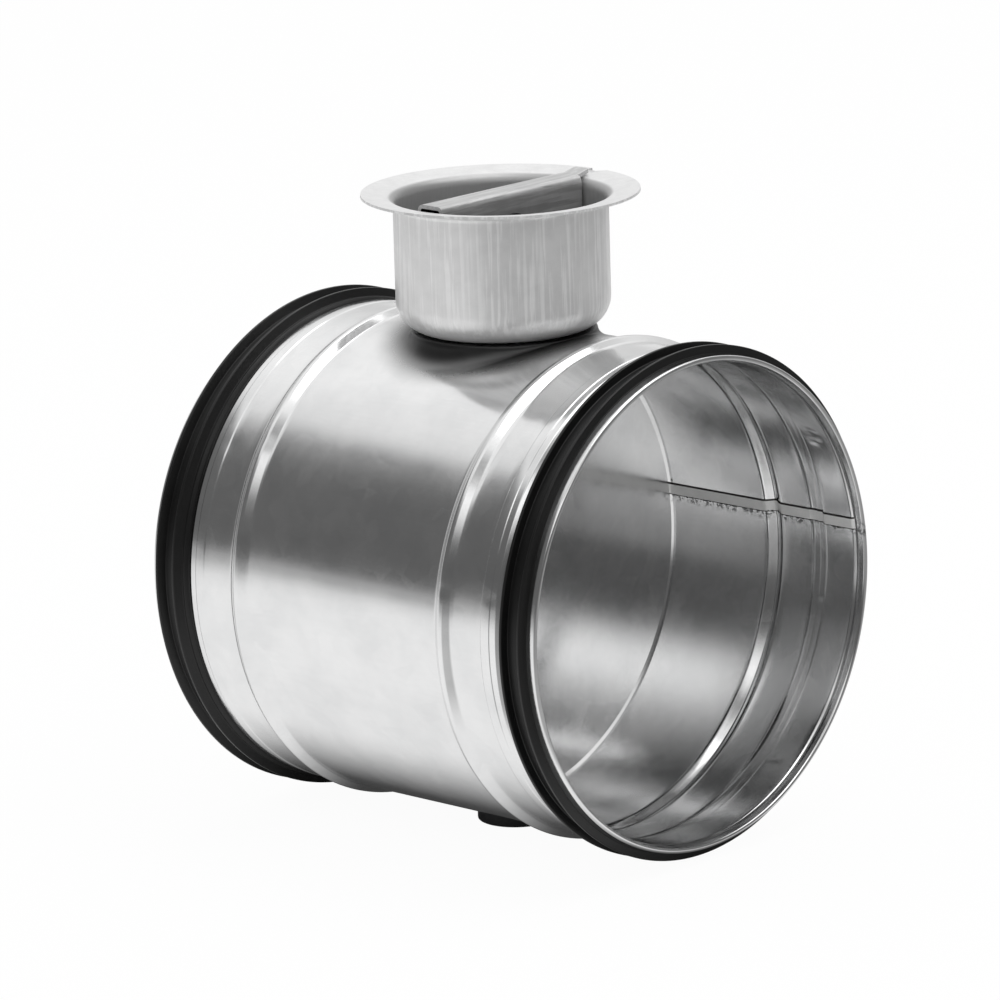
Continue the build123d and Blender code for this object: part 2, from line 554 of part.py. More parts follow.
def make_handle_screw():
    """Flanged button-head screw with a hexagon socket."""
    head = HANDLE_HALF_WIDTH
    screw = cross_rod(SCREW_FLANGE, head, SCREW_FLANGE_THICK, SCREW_Z)
    dome = cross_rod(SCREW_DOME_RADIUS, head, SCREW_HEAD, SCREW_Z)
    screw += fillet(dome.edges().group_by(Axis.X)[-1], (SCREW_HEAD - SCREW_FLANGE_THICK) * 3 / 4)
    screw += cross_rod(SCREW_RADIUS, head - SCREW_LENGTH, SCREW_LENGTH, SCREW_Z)
    socket = extrude(RegularPolygon(SCREW_SOCKET / 2, 6, major_radius=False), SCREW_SOCKET_DEPTH)
    return screw - Pos(head + SCREW_HEAD - SCREW_SOCKET_DEPTH, 0, SCREW_Z) * Rot(0, 90, 0) * socket


def make_handle_washer():
    """Plain washer under the nut."""
    x_low = -HANDLE_HALF_WIDTH - WASHER_THICK
    washer = cross_rod(WASHER_RADIUS, x_low, WASHER_THICK, SCREW_Z)
    return washer - cross_rod(SCREW_HOLE, x_low, WASHER_THICK, SCREW_Z)


def make_handle_nut():
    """Hexagon nut on the handle screw."""
    x_low = -HANDLE_HALF_WIDTH - WASHER_THICK - NUT_HEIGHT
    nut = extrude(RegularPolygon(NUT_FLATS / 2, 6, major_radius=False), NUT_HEIGHT)
    nut = Pos(x_low, 0, SCREW_Z) * Rot(0, 90, 0) * nut
    return nut - cross_rod(SCREW_RADIUS + SEAT_CLEAR, x_low, NUT_HEIGHT, SCREW_Z)


# ---------------------------------------------------------------- the damper
def make_all():
    """Every piece of the damper in its own node."""
    outlet_gasket = along_duct(gasket_section())
    keep("casing", make_casing())
    keep("outlet_gasket", outlet_gasket)
    keep("inlet_gasket", mirror(outlet_gasket, Plane.YZ))
    keep("cup", make_cup())
    keep("cup_rivets", *[make_cup_rivet(x, y) for x, y in rivet_places()])
    keep("stop_pin", make_stop_pin())
    keep("upper_bush", make_upper_bush())
    keep("lower_bush", make_lower_bush())
    keep("bush_clips", make_clip(upper_clip_z()), make_clip(lower_clip_z()))
    keep("spindle_seal", make_seal())
    keep("spindle", make_spindle())
    keep("pivot", make_pivot())
    keep("blade", make_blade())
    keep("spindle_strap", make_strap(NOTCH_TOP - TONGUE_LENGTH))
    keep("pivot_strap", make_strap(NOTCH_BOTTOM))
    keep("blade_rivets", *[make_blade_rivet(z) for z in all_rivet_levels()])
    keep("stop_plate", make_stop_plate())
    keep("spring_washer", make_spring_washer())
    keep("retaining_ring", make_retaining_ring())
    keep("handle", make_handle())
    keep("handle_screw", make_handle_screw())
    keep("handle_washer", make_handle_washer())
    keep("handle_nut", make_handle_nut())


make_all()
os.makedirs("parts", exist_ok=True)
for name, shape in PARTS.items():
    export_step(shape, f"parts/{name}.step")
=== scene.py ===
"""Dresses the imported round-duct damper: rolled and pressed sheet, rubber, finishes, light and camera."""

import json
import logging
import math
from dataclasses import dataclass
from enum import Enum
from typing import Sequence

import bmesh
import bpy
import numpy as np
from mathutils import Matrix, Vector

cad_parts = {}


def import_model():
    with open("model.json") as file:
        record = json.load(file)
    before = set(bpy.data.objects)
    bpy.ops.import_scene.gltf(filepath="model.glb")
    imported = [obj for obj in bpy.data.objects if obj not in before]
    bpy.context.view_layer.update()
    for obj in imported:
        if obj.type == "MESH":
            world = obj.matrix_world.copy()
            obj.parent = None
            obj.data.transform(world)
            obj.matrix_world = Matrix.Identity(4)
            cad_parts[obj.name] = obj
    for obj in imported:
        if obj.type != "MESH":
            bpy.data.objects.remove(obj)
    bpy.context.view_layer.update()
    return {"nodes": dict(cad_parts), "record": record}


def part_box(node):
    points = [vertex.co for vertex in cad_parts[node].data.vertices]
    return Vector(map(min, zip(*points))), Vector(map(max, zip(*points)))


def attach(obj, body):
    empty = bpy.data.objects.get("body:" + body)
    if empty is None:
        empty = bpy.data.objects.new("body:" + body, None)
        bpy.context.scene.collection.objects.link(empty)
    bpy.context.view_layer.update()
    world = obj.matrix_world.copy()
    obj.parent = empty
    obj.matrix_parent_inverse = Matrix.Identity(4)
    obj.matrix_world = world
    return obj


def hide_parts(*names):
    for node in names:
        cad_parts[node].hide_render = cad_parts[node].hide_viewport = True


MM = 0.001
FULL_TURN = 2 * math.pi
LOG = logging.getLogger("damper")

Point = tuple[float, float]
Triple = tuple[float, float, float]
Setting = dict[str, object]


# ---------------------------------------------------------------- shader graphs
class Link:
    """A node's output socket, on which Python's operators add Math nodes."""

    def __init__(self, graph: "Graph", socket: bpy.types.NodeSocket) -> None:
        """Keeps the graph and the socket.

        Args:
            graph: The graph that new Math nodes are added to.
            socket: The output socket.
        """
        self.graph = graph
        self.socket = socket

    def math(self, operation: str, *others: "Link | float") -> "Link":
        """Adds a Math node with this link as its first input.

        Args:
            operation: The Math node's operation.
            others: Its other inputs.

        Returns:
            The node's result.
        """
        return self.graph.node("ShaderNodeMath", {"operation": operation}, [self, *others])

    def __add__(self, other: "Link | float") -> "Link":
        """Sum."""
        return self.math("ADD", other)

    def __radd__(self, other: float) -> "Link":
        """Sum, with the number first."""
        return self.math("ADD", other)

    def __sub__(self, other: "Link | float") -> "Link":
        """Difference."""
        return self.math("SUBTRACT", other)

    def __rsub__(self, other: float) -> "Link":
        """Number less this link."""
        return self.graph.node("ShaderNodeMath", {"operation": "SUBTRACT"}, [other, self])

    def __mul__(self, other: "Link | float") -> "Link":
        """Product."""
        return self.math("MULTIPLY", other)

    def __rmul__(self, other: float) -> "Link":
        """Product, with the number first."""
        return self.math("MULTIPLY", other)

    def __truediv__(self, other: "Link | float") -> "Link":
        """Quotient."""
        return self.math("DIVIDE", other)

    def between(self, low: float, high: float) -> "Link":
        """Smooth step from 0 at low to 1 at high.

        Args:
            low: Where the step starts.
            high: Where it ends.

        Returns:
            The step, from 0 to 1.
        """
        settings = {"interpolation_type": "SMOOTHSTEP"}
        inputs = {"Value": self, "From Min": low, "From Max": high}
        return self.graph.node("ShaderNodeMapRange", settings, inputs)


class Graph:
    """A node tree with one method that makes every node."""

    def __init__(self, tree: bpy.types.NodeTree) -> None:
        """Keeps the tree, emptied.

        Args:
            tree: The node tree of a material or of the world.
        """
        self.tree = tree
        self.tree.nodes.clear()

    def node(self, kind: str, settings: Setting | None = None, inputs: object = (),
             output: int | str = 0) -> Link:
        """Adds a node.

        Args:
            kind: The node's type name.
            settings: Properties that are set first. A ramp's stops go under "stops".
            inputs: Values or links, as a list in socket order or a dict by socket name.
            output: Which output is returned.

        Returns:
            The chosen output.
        """
        made = self.tree.nodes.new(kind)
        for name, value in (settings or {}).items():
            if name == "stops":
                set_stops(made.color_ramp, value)
            else:
                setattr(made, name, value)
        pairs = inputs.items() if isinstance(inputs, dict) else enumerate(inputs)
        for key, value in pairs:
            if isinstance(value, Link):
                self.tree.links.new(value.socket, made.inputs[key])
            elif value is not None:
                made.inputs[key].default_value = value
        return Link(self, made.outputs[output]) if len(made.outputs) else Link(self, None)

    def axis(self, vector: Link, index: int) -> Link:
        """One number of a vector: 0 for X, 1 for Y, 2 for Z."""
        return self.node("ShaderNodeSeparateXYZ", {}, [vector], output=index)

    def normal(self) -> Link:
        """The direction that the surface faces."""
        return self.node("ShaderNodeTexCoord", output="Normal")

    def laid_flat(self, way: Link) -> Link:
        """A vector without its height."""
        return self.node("ShaderNodeVectorMath", {"operation": "MULTIPLY"}, [way, (1, 1, 0)])

    def level(self, flat: Link) -> tuple[Link, Link]:
        """X and Y of the unit vector along a level one."""
        unit = self.node("ShaderNodeVectorMath", {"operation": "NORMALIZE"}, [flat])
        return self.axis(unit, 0), self.axis(unit, 1)

    def object_space(self, scale: Triple = (1, 1, 1)) -> Link:
        """Object coordinates in millimetres, stretched by a scale.

        Args:
            scale: Factors along X, Y and Z. A small factor makes long streaks on that axis.

        Returns:
            The vector.
        """
        place = self.node("ShaderNodeTexCoord", output="Object")
        factors = tuple(s / MM for s in scale)
        return self.node("ShaderNodeMapping", {}, {"Vector": place, "Scale": factors})

    def noise(self, place: Link, scale: float, detail: float = 3.0, roughness: float = 0.5) -> Link:
        """Noise from 0 to 1.

        Args:
            place: The vector that it is read at.
            scale: Features per millimetre.
            detail: Octaves.
            roughness: How much the small octaves count.

        Returns:
            The noise value.
        """
        values = {"Vector": place, "Scale": scale, "Detail": detail, "Roughness": roughness}
        return self.node("ShaderNodeTexNoise", {}, values)

    def mix(self, factor: Link, low: Sequence[float] | Link, high: Sequence[float] | Link) -> Link:
        """Colour between two colours.

        Args:
            factor: 0 gives the first colour, 1 the second.
            low: The first colour.
            high: The second colour.

        Returns:
            The colour.
        """
        first = low if isinstance(low, Link) else (*low, 1.0)
        second = high if isinstance(high, Link) else (*high, 1.0)
        inputs = {0: factor, 6: first, 7: second}
        return self.node("ShaderNodeMix", {"data_type": "RGBA"}, inputs, output=2)

    def bump(self, height: Link, distance: float) -> Link:
        """Normal bent by a height from 0 to 1.

        Args:
            height: The height.
            distance: What a height of 1 measures, in millimetres.

        Returns:
            The normal.
        """
        inputs = {"Height": height, "Distance": distance * MM, "Strength": 1.0}
        return self.node("ShaderNodeBump", {}, inputs)

    def surface(self, **inputs: object) -> None:
        """Ends the graph in a Principled shader.

        Args:
            inputs: Its sockets, with underscores for the spaces in their names.
        """
        named = {key.replace("_", " "): value for key, value in inputs.items()}
        shader = self.node("ShaderNodeBsdfPrincipled", {}, named)
        self.node("ShaderNodeOutputMaterial", {}, {"Surface": shader})


def set_stops(ramp: bpy.types.ColorRamp, stops: Sequence[Point]) -> None:
    """Gives a ramp its grey stops.

    Args:
        ramp: The ramp.
        stops: Pairs of place and grey.
    """
    while len(ramp.elements) < len(stops):
        ramp.elements.new(0.5)
    for element, (place, grey_tone) in zip(ramp.elements, stops):
        element.position = place
        element.color = (*grey(grey_tone), 1.0)


def grey(tone: float) -> Triple:
    """A grey, no brighter than white."""
    return (min(1.0, tone),) * 3


# ---------------------------------------------------------------- finishes
class Grain(Enum):
    """Which way the fine marks of a sheet run, as factors on X, Y and Z."""

    AXIAL = (0.05, 1.0, 1.0)
    UPRIGHT = (1.0, 1.0, 0.04)
    ACROSS = (1.0, 0.06, 1.0)


@dataclass(frozen=True)
class WearAndShade:
    """Where the casing's coat is stained, rougher or painted with shade, in millimetres, and how much: a
    painted shadow on the seat's wall under the cup, painted shade on the tube's inner skin, the weld's stains
    and the seat's rougher drawn coat.
    """

    axis: float
    weld: Point
    weld_core: float = 0.8
    weld_reach: float = 3.6
    seat: float = 29.0
    seat_reach: float = 14.0
    seat_floor: float = 30.0
    inner_blend: float = 9.0
    inner_shade_share: float = 0.16
    inner_shade_tone: float = 0.4
    cup_shadow_tone: float = 0.07
    drawn_rough: float = 0.25
    burnt_share: float = 0.8
    burnt_tone: float = 0.05
    burnt_rough: float = 0.2

    def masks(self, graph: Graph, place: Link) -> tuple[Link, Link, Link]:
        """Reads the three places: the two with painted shade and the weld's stains.

        Args:
            graph: The graph.
            place: Object coordinates in millimetres.

        Returns:
            Masks of the seat's drawn wall under the cup, where the painted shadow goes, of the tube's inner
            skin, where painted shade goes, and of the weld's stains.
        """
        x, y, z = (graph.axis(place, k) for k in range(3))
        up = z - self.axis
        normal = graph.normal()
        outwards = graph.axis(normal, 1) * y + graph.axis(normal, 2) * up
        # The tube's inner skin: the mask for the painted shade inside the tube.
        inner = 1 - outwards.between(-self.inner_blend, self.inner_blend)
        # The seat's wall round the cup's foot: the mask for the painted shadow under the cup.
        reach = (x * x + y * y).math("SQRT")
        beside = 1 - reach.between(self.seat, self.seat + self.seat_reach)
        drawn_and_shaded = beside * up.between(0, self.seat_floor)
        across, over = y - self.weld[0], up - self.weld[1]
        far = (across * across + over * over).math("SQRT")
        spots = graph.noise(place, 0.7, 4, 0.7).between(0.46, 0.60)
        burnt = (1 - far.between(self.weld_core, self.weld_reach)) * spots
        return drawn_and_shaded, inner, burnt

    def dulled_and_shaded(self, graph: Graph, place: Link, tone: float, colour: Link, rough: Link) -> tuple[Link, Link]:
        """Puts the weld's stains, the seat's rougher coat, the painted shadow under the cup and the painted
        shade inside the tube on a coat.

        Args:
            graph: The graph.
            place: Object coordinates in millimetres.
            tone: The coat's tone.
            colour: Its colour.
            rough: Its roughness.

        Returns:
            The colour, with its stains and painted shade, and the roughness.
        """
        drawn_and_shaded, inner, burnt = self.masks(graph, place)
        # Painted shade: the tube's inner skin is darkened a little.
        colour = graph.mix(inner * self.inner_shade_share, colour, grey(tone * self.inner_shade_tone))
        # Painted shadow: the seat's wall under the cup is darkened almost to black as the cup's shade; the
        # roughness rise there is the drawn coat's own.
        colour = graph.mix(drawn_and_shaded, colour, grey(tone * self.cup_shadow_tone))
        colour = graph.mix(burnt * self.burnt_share, colour, grey(self.burnt_tone))
        return colour, rough + self.drawn_rough * drawn_and_shaded + self.burnt_rough * burnt


@dataclass(frozen=True)
class Galvanised:
    """Hot-dip galvanised sheet: bright, slightly cloudy, with fine rolling marks and spangle."""

    name: str = "galvanised"
    tone: float = 0.80
    roughness: float = 0.15
    grain: Grain = Grain.AXIAL
    spangle: float = 0.16
    relief: float = 0.004
    cloudiness: float = 0.10
    tint: Triple = (1.0, 1.005, 1.01)
    wear_and_shade: WearAndShade | None = None

    def material(self) -> bpy.types.Material:
        """Builds the finish.

        Returns:
            The material.
        """
        made, graph = new_material(self.name)
        place = graph.object_space()
        lines = graph.noise(graph.object_space(self.grain.value), 1.6, 4, 0.6)
        cloud = graph.noise(place, 0.05, 3, 0.55)
        fine = graph.noise(place, 0.9, 4, 0.6)
        cells = {"Vector": place, "Scale": self.spangle}
        crystals = graph.node("ShaderNodeTexVoronoi", {}, cells, output="Color")
        crystal = graph.node("ShaderNodeSeparateColor", {}, [crystals])
        shade = 0.5 * cloud.between(0.3, 0.7) + 0.3 * lines + 0.2 * crystal
        low = [self.tone * t * (1 - self.cloudiness) for t in self.tint]
        colour = graph.mix(shade, low, grey(self.tone * (1 + 0.8 * self.cloudiness)))
        rough = self.roughness + 0.10 * (cloud - 0.5) + 0.10 * (fine - 0.5) + 0.05 * (crystal - 0.5)
        # Painted shadow under the cup and painted shade inside the tube, with the weld's real stains.
        if self.wear_and_shade:
            colour, rough = self.wear_and_shade.dulled_and_shaded(graph, place, self.tone, colour, rough)
        height = 0.5 * lines + 0.3 * fine + 0.2 * crystal
        graph.surface(Base_Color=colour, Metallic=1.0, Roughness=rough,
                      Normal=graph.bump(height, self.relief))
        return made


@dataclass(frozen=True)
class Satin:
    """Drawn or folded sheet with a satin zinc coat and marks along the way it was pulled, with painted shade
    on its inner faces when hollow is set.
    """

    name: str
    tone: float = 0.62
    roughness: float = 0.46
    metallic: float = 0.9
    grain: Grain = Grain.UPRIGHT
    streak: float = 0.16
    relief: float = 0.02
    hollow: Point = (0.0, 0.0)
    shadow: float = 0.5
    top_marks: float = 1.0

    def inside(self, graph: Graph, place: Link) -> Link:
        """Where the sheet faces its own middle, which gets painted shade.

        Args:
            graph: The graph.
            place: Object coordinates in millimetres.

        Returns:
            1 on the inner faces, 0 elsewhere.
        """
        normal = graph.normal()
        x, y = (graph.axis(place, k) * self.hollow[k] for k in (0, 1))
        facing = (graph.axis(normal, 0) * x + graph.axis(normal, 1) * y) / (x * x + y * y).math("SQRT")
        return 1 - facing.between(-0.6, -0.2)

    def material(self) -> bpy.types.Material:
        """Builds the finish.

        Returns:
            The material.
        """
        made, graph = new_material(self.name)
        place = graph.object_space()
        wide = graph.noise(graph.object_space(self.grain.value), 0.35, 2, 0.5)
        thin = graph.noise(graph.object_space(self.grain.value), 0.7, 3, 0.6)
        cloud = graph.noise(place, 0.14, 4, 0.6)
        fine = graph.noise(place, 2.2, 3, 0.6)
        marks = thin.between(0.46, 0.60) * (0.4 + 0.6 * wide.between(0.35, 0.6))
        flat = graph.axis(graph.normal(), 2).math("ABSOLUTE").between(0.3, 0.8)
        marks = marks * (1 - flat * (1 - self.top_marks))
        shade = 0.62 * marks + 0.25 * cloud.between(0.3, 0.7) + 0.13 * fine
        rough = self.roughness + 0.14 * (marks - 0.5) + 0.10 * (fine - 0.5)
        height = 0.6 * marks + 0.4 * fine
        colour = graph.mix(shade, grey(self.tone * (1 - self.streak)), grey(self.tone * (1 + self.streak)))
        if any(self.hollow):
            # Painted shade: the faces towards the middle are darkened, inside the cup and in the handle's
            # channel.
            colour = graph.mix(self.inside(graph, place), colour, grey(self.tone * self.shadow))
        graph.surface(Base_Color=colour, Metallic=self.metallic, Roughness=rough,
                      Normal=graph.bump(height, self.relief))
        return made


@dataclass(frozen=True)
class Rubber:
    """Black moulded rubber with dust in its pores."""

    name: str = "epdm"
    tone: float = 0.006
    roughness: float = 0.34
    relief: float = 0.02
    sheen: float = 0.36

    def material(self) -> bpy.types.Material:
        """Builds the finish.

        Returns:
            The material.
        """
        made, graph = new_material(self.name)
        place = graph.object_space()
        cloud = graph.noise(place, 0.12, 3, 0.5)
        fine = graph.noise(place, 2.2, 4, 0.6)
        shade = cloud * 0.5 + fine * 0.5
        rough = self.roughness + 0.2 * (fine - 0.5) + 0.15 * (cloud - 0.5)
        graph.surface(Base_Color=graph.mix(shade, grey(self.tone * 0.6), grey(self.tone * 1.6)),
                      Roughness=rough, Normal=graph.bump(fine, self.relief), Specular_IOR_Level=self.sheen)
        return made


@dataclass(frozen=True)
class Small:
    """Finish of the small hardware: plated, oxidised or moulded."""

    name: str
    tone: Triple
    metallic: float
    roughness: float
    relief: float = 0.008

    def material(self) -> bpy.types.Material:
        """Builds the finish.

        Returns:
            The material.
        """
        made, graph = new_material(self.name)
        place = graph.object_space()
        fine = graph.noise(place, 2.5, 4, 0.6)
        cloud = graph.noise(place, 0.25, 2, 0.5)
        low = [0.85 * t for t in self.tone]
        high = [min(1.0, 1.15 * t) for t in self.tone]
        rough = self.roughness + 0.15 * (fine - 0.5) + 0.08 * (cloud - 0.5)
        graph.surface(Base_Color=graph.mix(0.5 * fine + 0.5 * cloud, low, high), Metallic=self.metallic,
                      Roughness=rough, Normal=graph.bump(fine, self.relief))
        return made


def new_material(name: str) -> tuple[bpy.types.Material, Graph]:
    """Starts a node material.

    Args:
        name: Its name.

    Returns:
        The material and its emptied graph.
    """
    made = bpy.data.materials.new(name)
    made.use_nodes = True
    return made, Graph(made.node_tree)


# ---------------------------------------------------------------- lines and surfaces
NEAR_HALF = 0.499


def rounded(points: Sequence[Point], radii: Sequence[float], turn: float = math.radians(9)) -> list[Point]:
    """Puts arcs in the inner corners of an open line.

    Args:
        points: The line's corners.
        radii: One radius for each inner corner.
        turn: The largest angle between neighbouring points on an arc.

    Returns:
        The line's points.
    """
    line = [points[0]]
    for before, corner, after, radius in zip(points, points[1:], points[2:], radii):
        a = Vector(before) - Vector(corner)
        b = Vector(after) - Vector(corner)
        bend = math.pi - a.angle(b)
        reach = min(radius * math.tan(bend / 2), NEAR_HALF * a.length, NEAR_HALF * b.length)
        start = Vector(corner) + a.normalized() * reach
        end = Vector(corner) + b.normalized() * reach
        weight = math.cos(bend / 2)
        steps = max(1, math.ceil(bend / turn))
        for t in (i / steps for i in range(steps + 1)):
            pull = 2 * t * (1 - t) * weight
            place = start * (1 - t) ** 2 + Vector(corner) * pull + end * t ** 2
            line.append(tuple(place / ((1 - t) ** 2 + pull + t ** 2)))
    line.append(points[-1])
    return line


def shifted(points: Sequence[Point], radii: Sequence[float],
            distance: float) -> tuple[list[Point], list[float]]:
    """Moves a line to its right by a distance, with its corners mitred.

    Args:
        points: The line's corners.
        radii: One radius for each inner corner.
        distance: How far to its right.

    Returns:
        The new corners and radii.
    """
    flat = [Vector(p) for p in points]
    ways = [(b - a).normalized() for a, b in zip(flat, flat[1:])]
    rights = [Vector((w.y, -w.x)) for w in ways]
    moved = [flat[0] + rights[0] * distance]
    bends = []
    for corner, before, after, way, radius in zip(flat[1:], rights, rights[1:], ways, radii):
        middle = (before + after) / (1 + before.dot(after))
        moved.append(corner + middle * distance)
        right_turn = way.dot(after) < 0
        bends.append(max(radius + (-distance if right_turn else distance), 0.0))
    moved.append(flat[-1] + rights[-1] * distance)
    return [tuple(p) for p in moved], bends


def grid_object(name: str, rows: np.ndarray, closed_rows: bool, closed_columns: bool,
                crease: float = 35) -> bpy.types.Object:
    """Makes a mesh from a grid of points.

    Args:
        name: The object's name.
        rows: Points in metres, rows by columns by 3.
        closed_rows: Whether the last row joins the first.
        closed_columns: Whether the last column joins the first.
        crease: Edges that turn more than this many degrees stay sharp.

    Returns:
        The object, with its normals outwards.
    """
    count, width = rows.shape[:2]
    down = np.arange(count if closed_rows else count - 1)
    across = np.arange(width if closed_columns else width - 1)
    i, j = np.meshgrid(down, across, indexing="ij")
    here, below, right = i * width, (i + 1) % count * width, (j + 1) % width
    faces = np.stack([here + j, below + j, below + right, here + right], axis=-1)
    mesh = bpy.data.meshes.new(name)
    mesh.from_pydata(rows.reshape(-1, 3).tolist(), [], faces.reshape(-1, 4).tolist())
    return finished(name, mesh, crease)


def finished(name: str, mesh: bpy.types.Mesh, crease: float = 35) -> bpy.types.Object:
    """Cleans a mesh, turns its faces outwards, smooths it and links its object.

    Args:
        name: The object's name.
        mesh: The mesh.
        crease: Edges that turn more than this many degrees stay sharp.

    Returns:
        The object.
    """
    work = bmesh.new()
    work.from_mesh(mesh)
    bmesh.ops.remove_doubles(work, verts=work.verts, dist=0.0005 * MM)
    bmesh.ops.recalc_face_normals(work, faces=work.faces)
    work.to_mesh(mesh)
    work.free()
    mesh.shade_smooth()
    mesh.set_sharp_from_angle(angle=math.radians(crease))
    return linked(name, mesh)


def linked(name: str, data: bpy.types.ID | None) -> bpy.types.Object:
    """Makes an object of some data and links it to the scene."""
    made = bpy.data.objects.new(name, data)
    bpy.context.scene.collection.objects.link(made)
    return made


def turned(line: Sequence[Point], angles: np.ndarray) -> np.ndarray:
    """Turns a line (along, radius) about the duct's axis.

    Args:
        line: The line, in millimetres.
        angles: Angles from +Y towards +Z.

    Returns:
        Points in millimetres, relative to the axis, a row for each point of the line.
    """
    along, radius = np.array(line).T[..., None]
    flat = np.ones_like(angles)[None, :]
    return np.stack([along * flat, radius * np.cos(angles), radius * np.sin(angles)], axis=-1)


def upright(line: Sequence[Point], angles: np.ndarray) -> np.ndarray:
    """Turns a line (radius, height) about the spindle's axis.

    Args:
        line: The line, in millimetres.
        angles: Angles from +X towards +Y.

    Returns:
        Points in millimetres, a row for each point of the line.
    """
    radius, height = np.array(line).T[..., None]
    flat = np.ones_like(angles)[None, :]
    return np.stack([radius * np.cos(angles), radius * np.sin(angles), height * flat], axis=-1)


def full_turn(count: int) -> np.ndarray:
    """Evenly spaced angles round a full turn."""
    return np.arange(count) * (FULL_TURN / count)


def thickened(line: Sequence[Point], step: float) -> list[Point]:
    """Adds points to a line's long runs.

    Args:
        line: The line.
        step: The longest run that may stay.

    Returns:
        The line with more points.
    """
    dense = [line[0]]
    for a, b in zip(line, line[1:]):
        parts = max(1, math.ceil(math.dist(a, b) / step))
        dense += [(a[0] + (b[0] - a[0]) * k / parts, a[1] + (b[1] - a[1]) * k / parts)
                  for k in range(1, parts + 1)]
    return dense


def dress(piece: bpy.types.Object, finish: bpy.types.Material, body: str, slot: str, *nodes: str) -> None:
    """Gives a piece its finish and its body, and hides the solids that it stands for.

    Args:
        piece: The object.
        finish: Its material.
        body: The body it rides on.
        slot: The record's material slot; not used.
        nodes: The solids that it replaces.
    """
    piece.data.materials.clear()
    piece.data.materials.append(finish)
    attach(piece, body)
    if nodes:
        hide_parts(*nodes)
    LOG.info("%s on %s: %d faces", piece.name, body, len(piece.data.polygons))


# ---------------------------------------------------------------- casing
@dataclass(frozen=True)
class Dent:
    """A small local push into or out of the casing's wall."""

    along: float
    angle: float
    width: float
    depth: float

    def push(self, along: np.ndarray, angles: np.ndarray, radius: float) -> np.ndarray:
        """How far the wall moves inwards.

        Args:
            along: Places along the duct.
            angles: Angles in radians.
            radius: The wall's radius.

        Returns:
            The push at each place, in millimetres.
        """
        round_way = (angles - math.radians(self.angle) + math.pi) % FULL_TURN - math.pi
        distance = (along - self.along) ** 2 + (radius * round_way) ** 2
        return self.depth * np.exp(-distance / (2 * self.width ** 2))


@dataclass(frozen=True)
class Skin:
    """One skin of the casing's middle stretch: the tube and the seat raised from it, in millimetres."""

    tube: float
    seat: float
    edge: float
    foot: float
    top: float

    def height(self, distance: float, across: float) -> float:
        """The tube's height over the axis at a distance from the seat's centre, a share of it across."""
        return math.sqrt(self.tube ** 2 - (distance * across) ** 2)


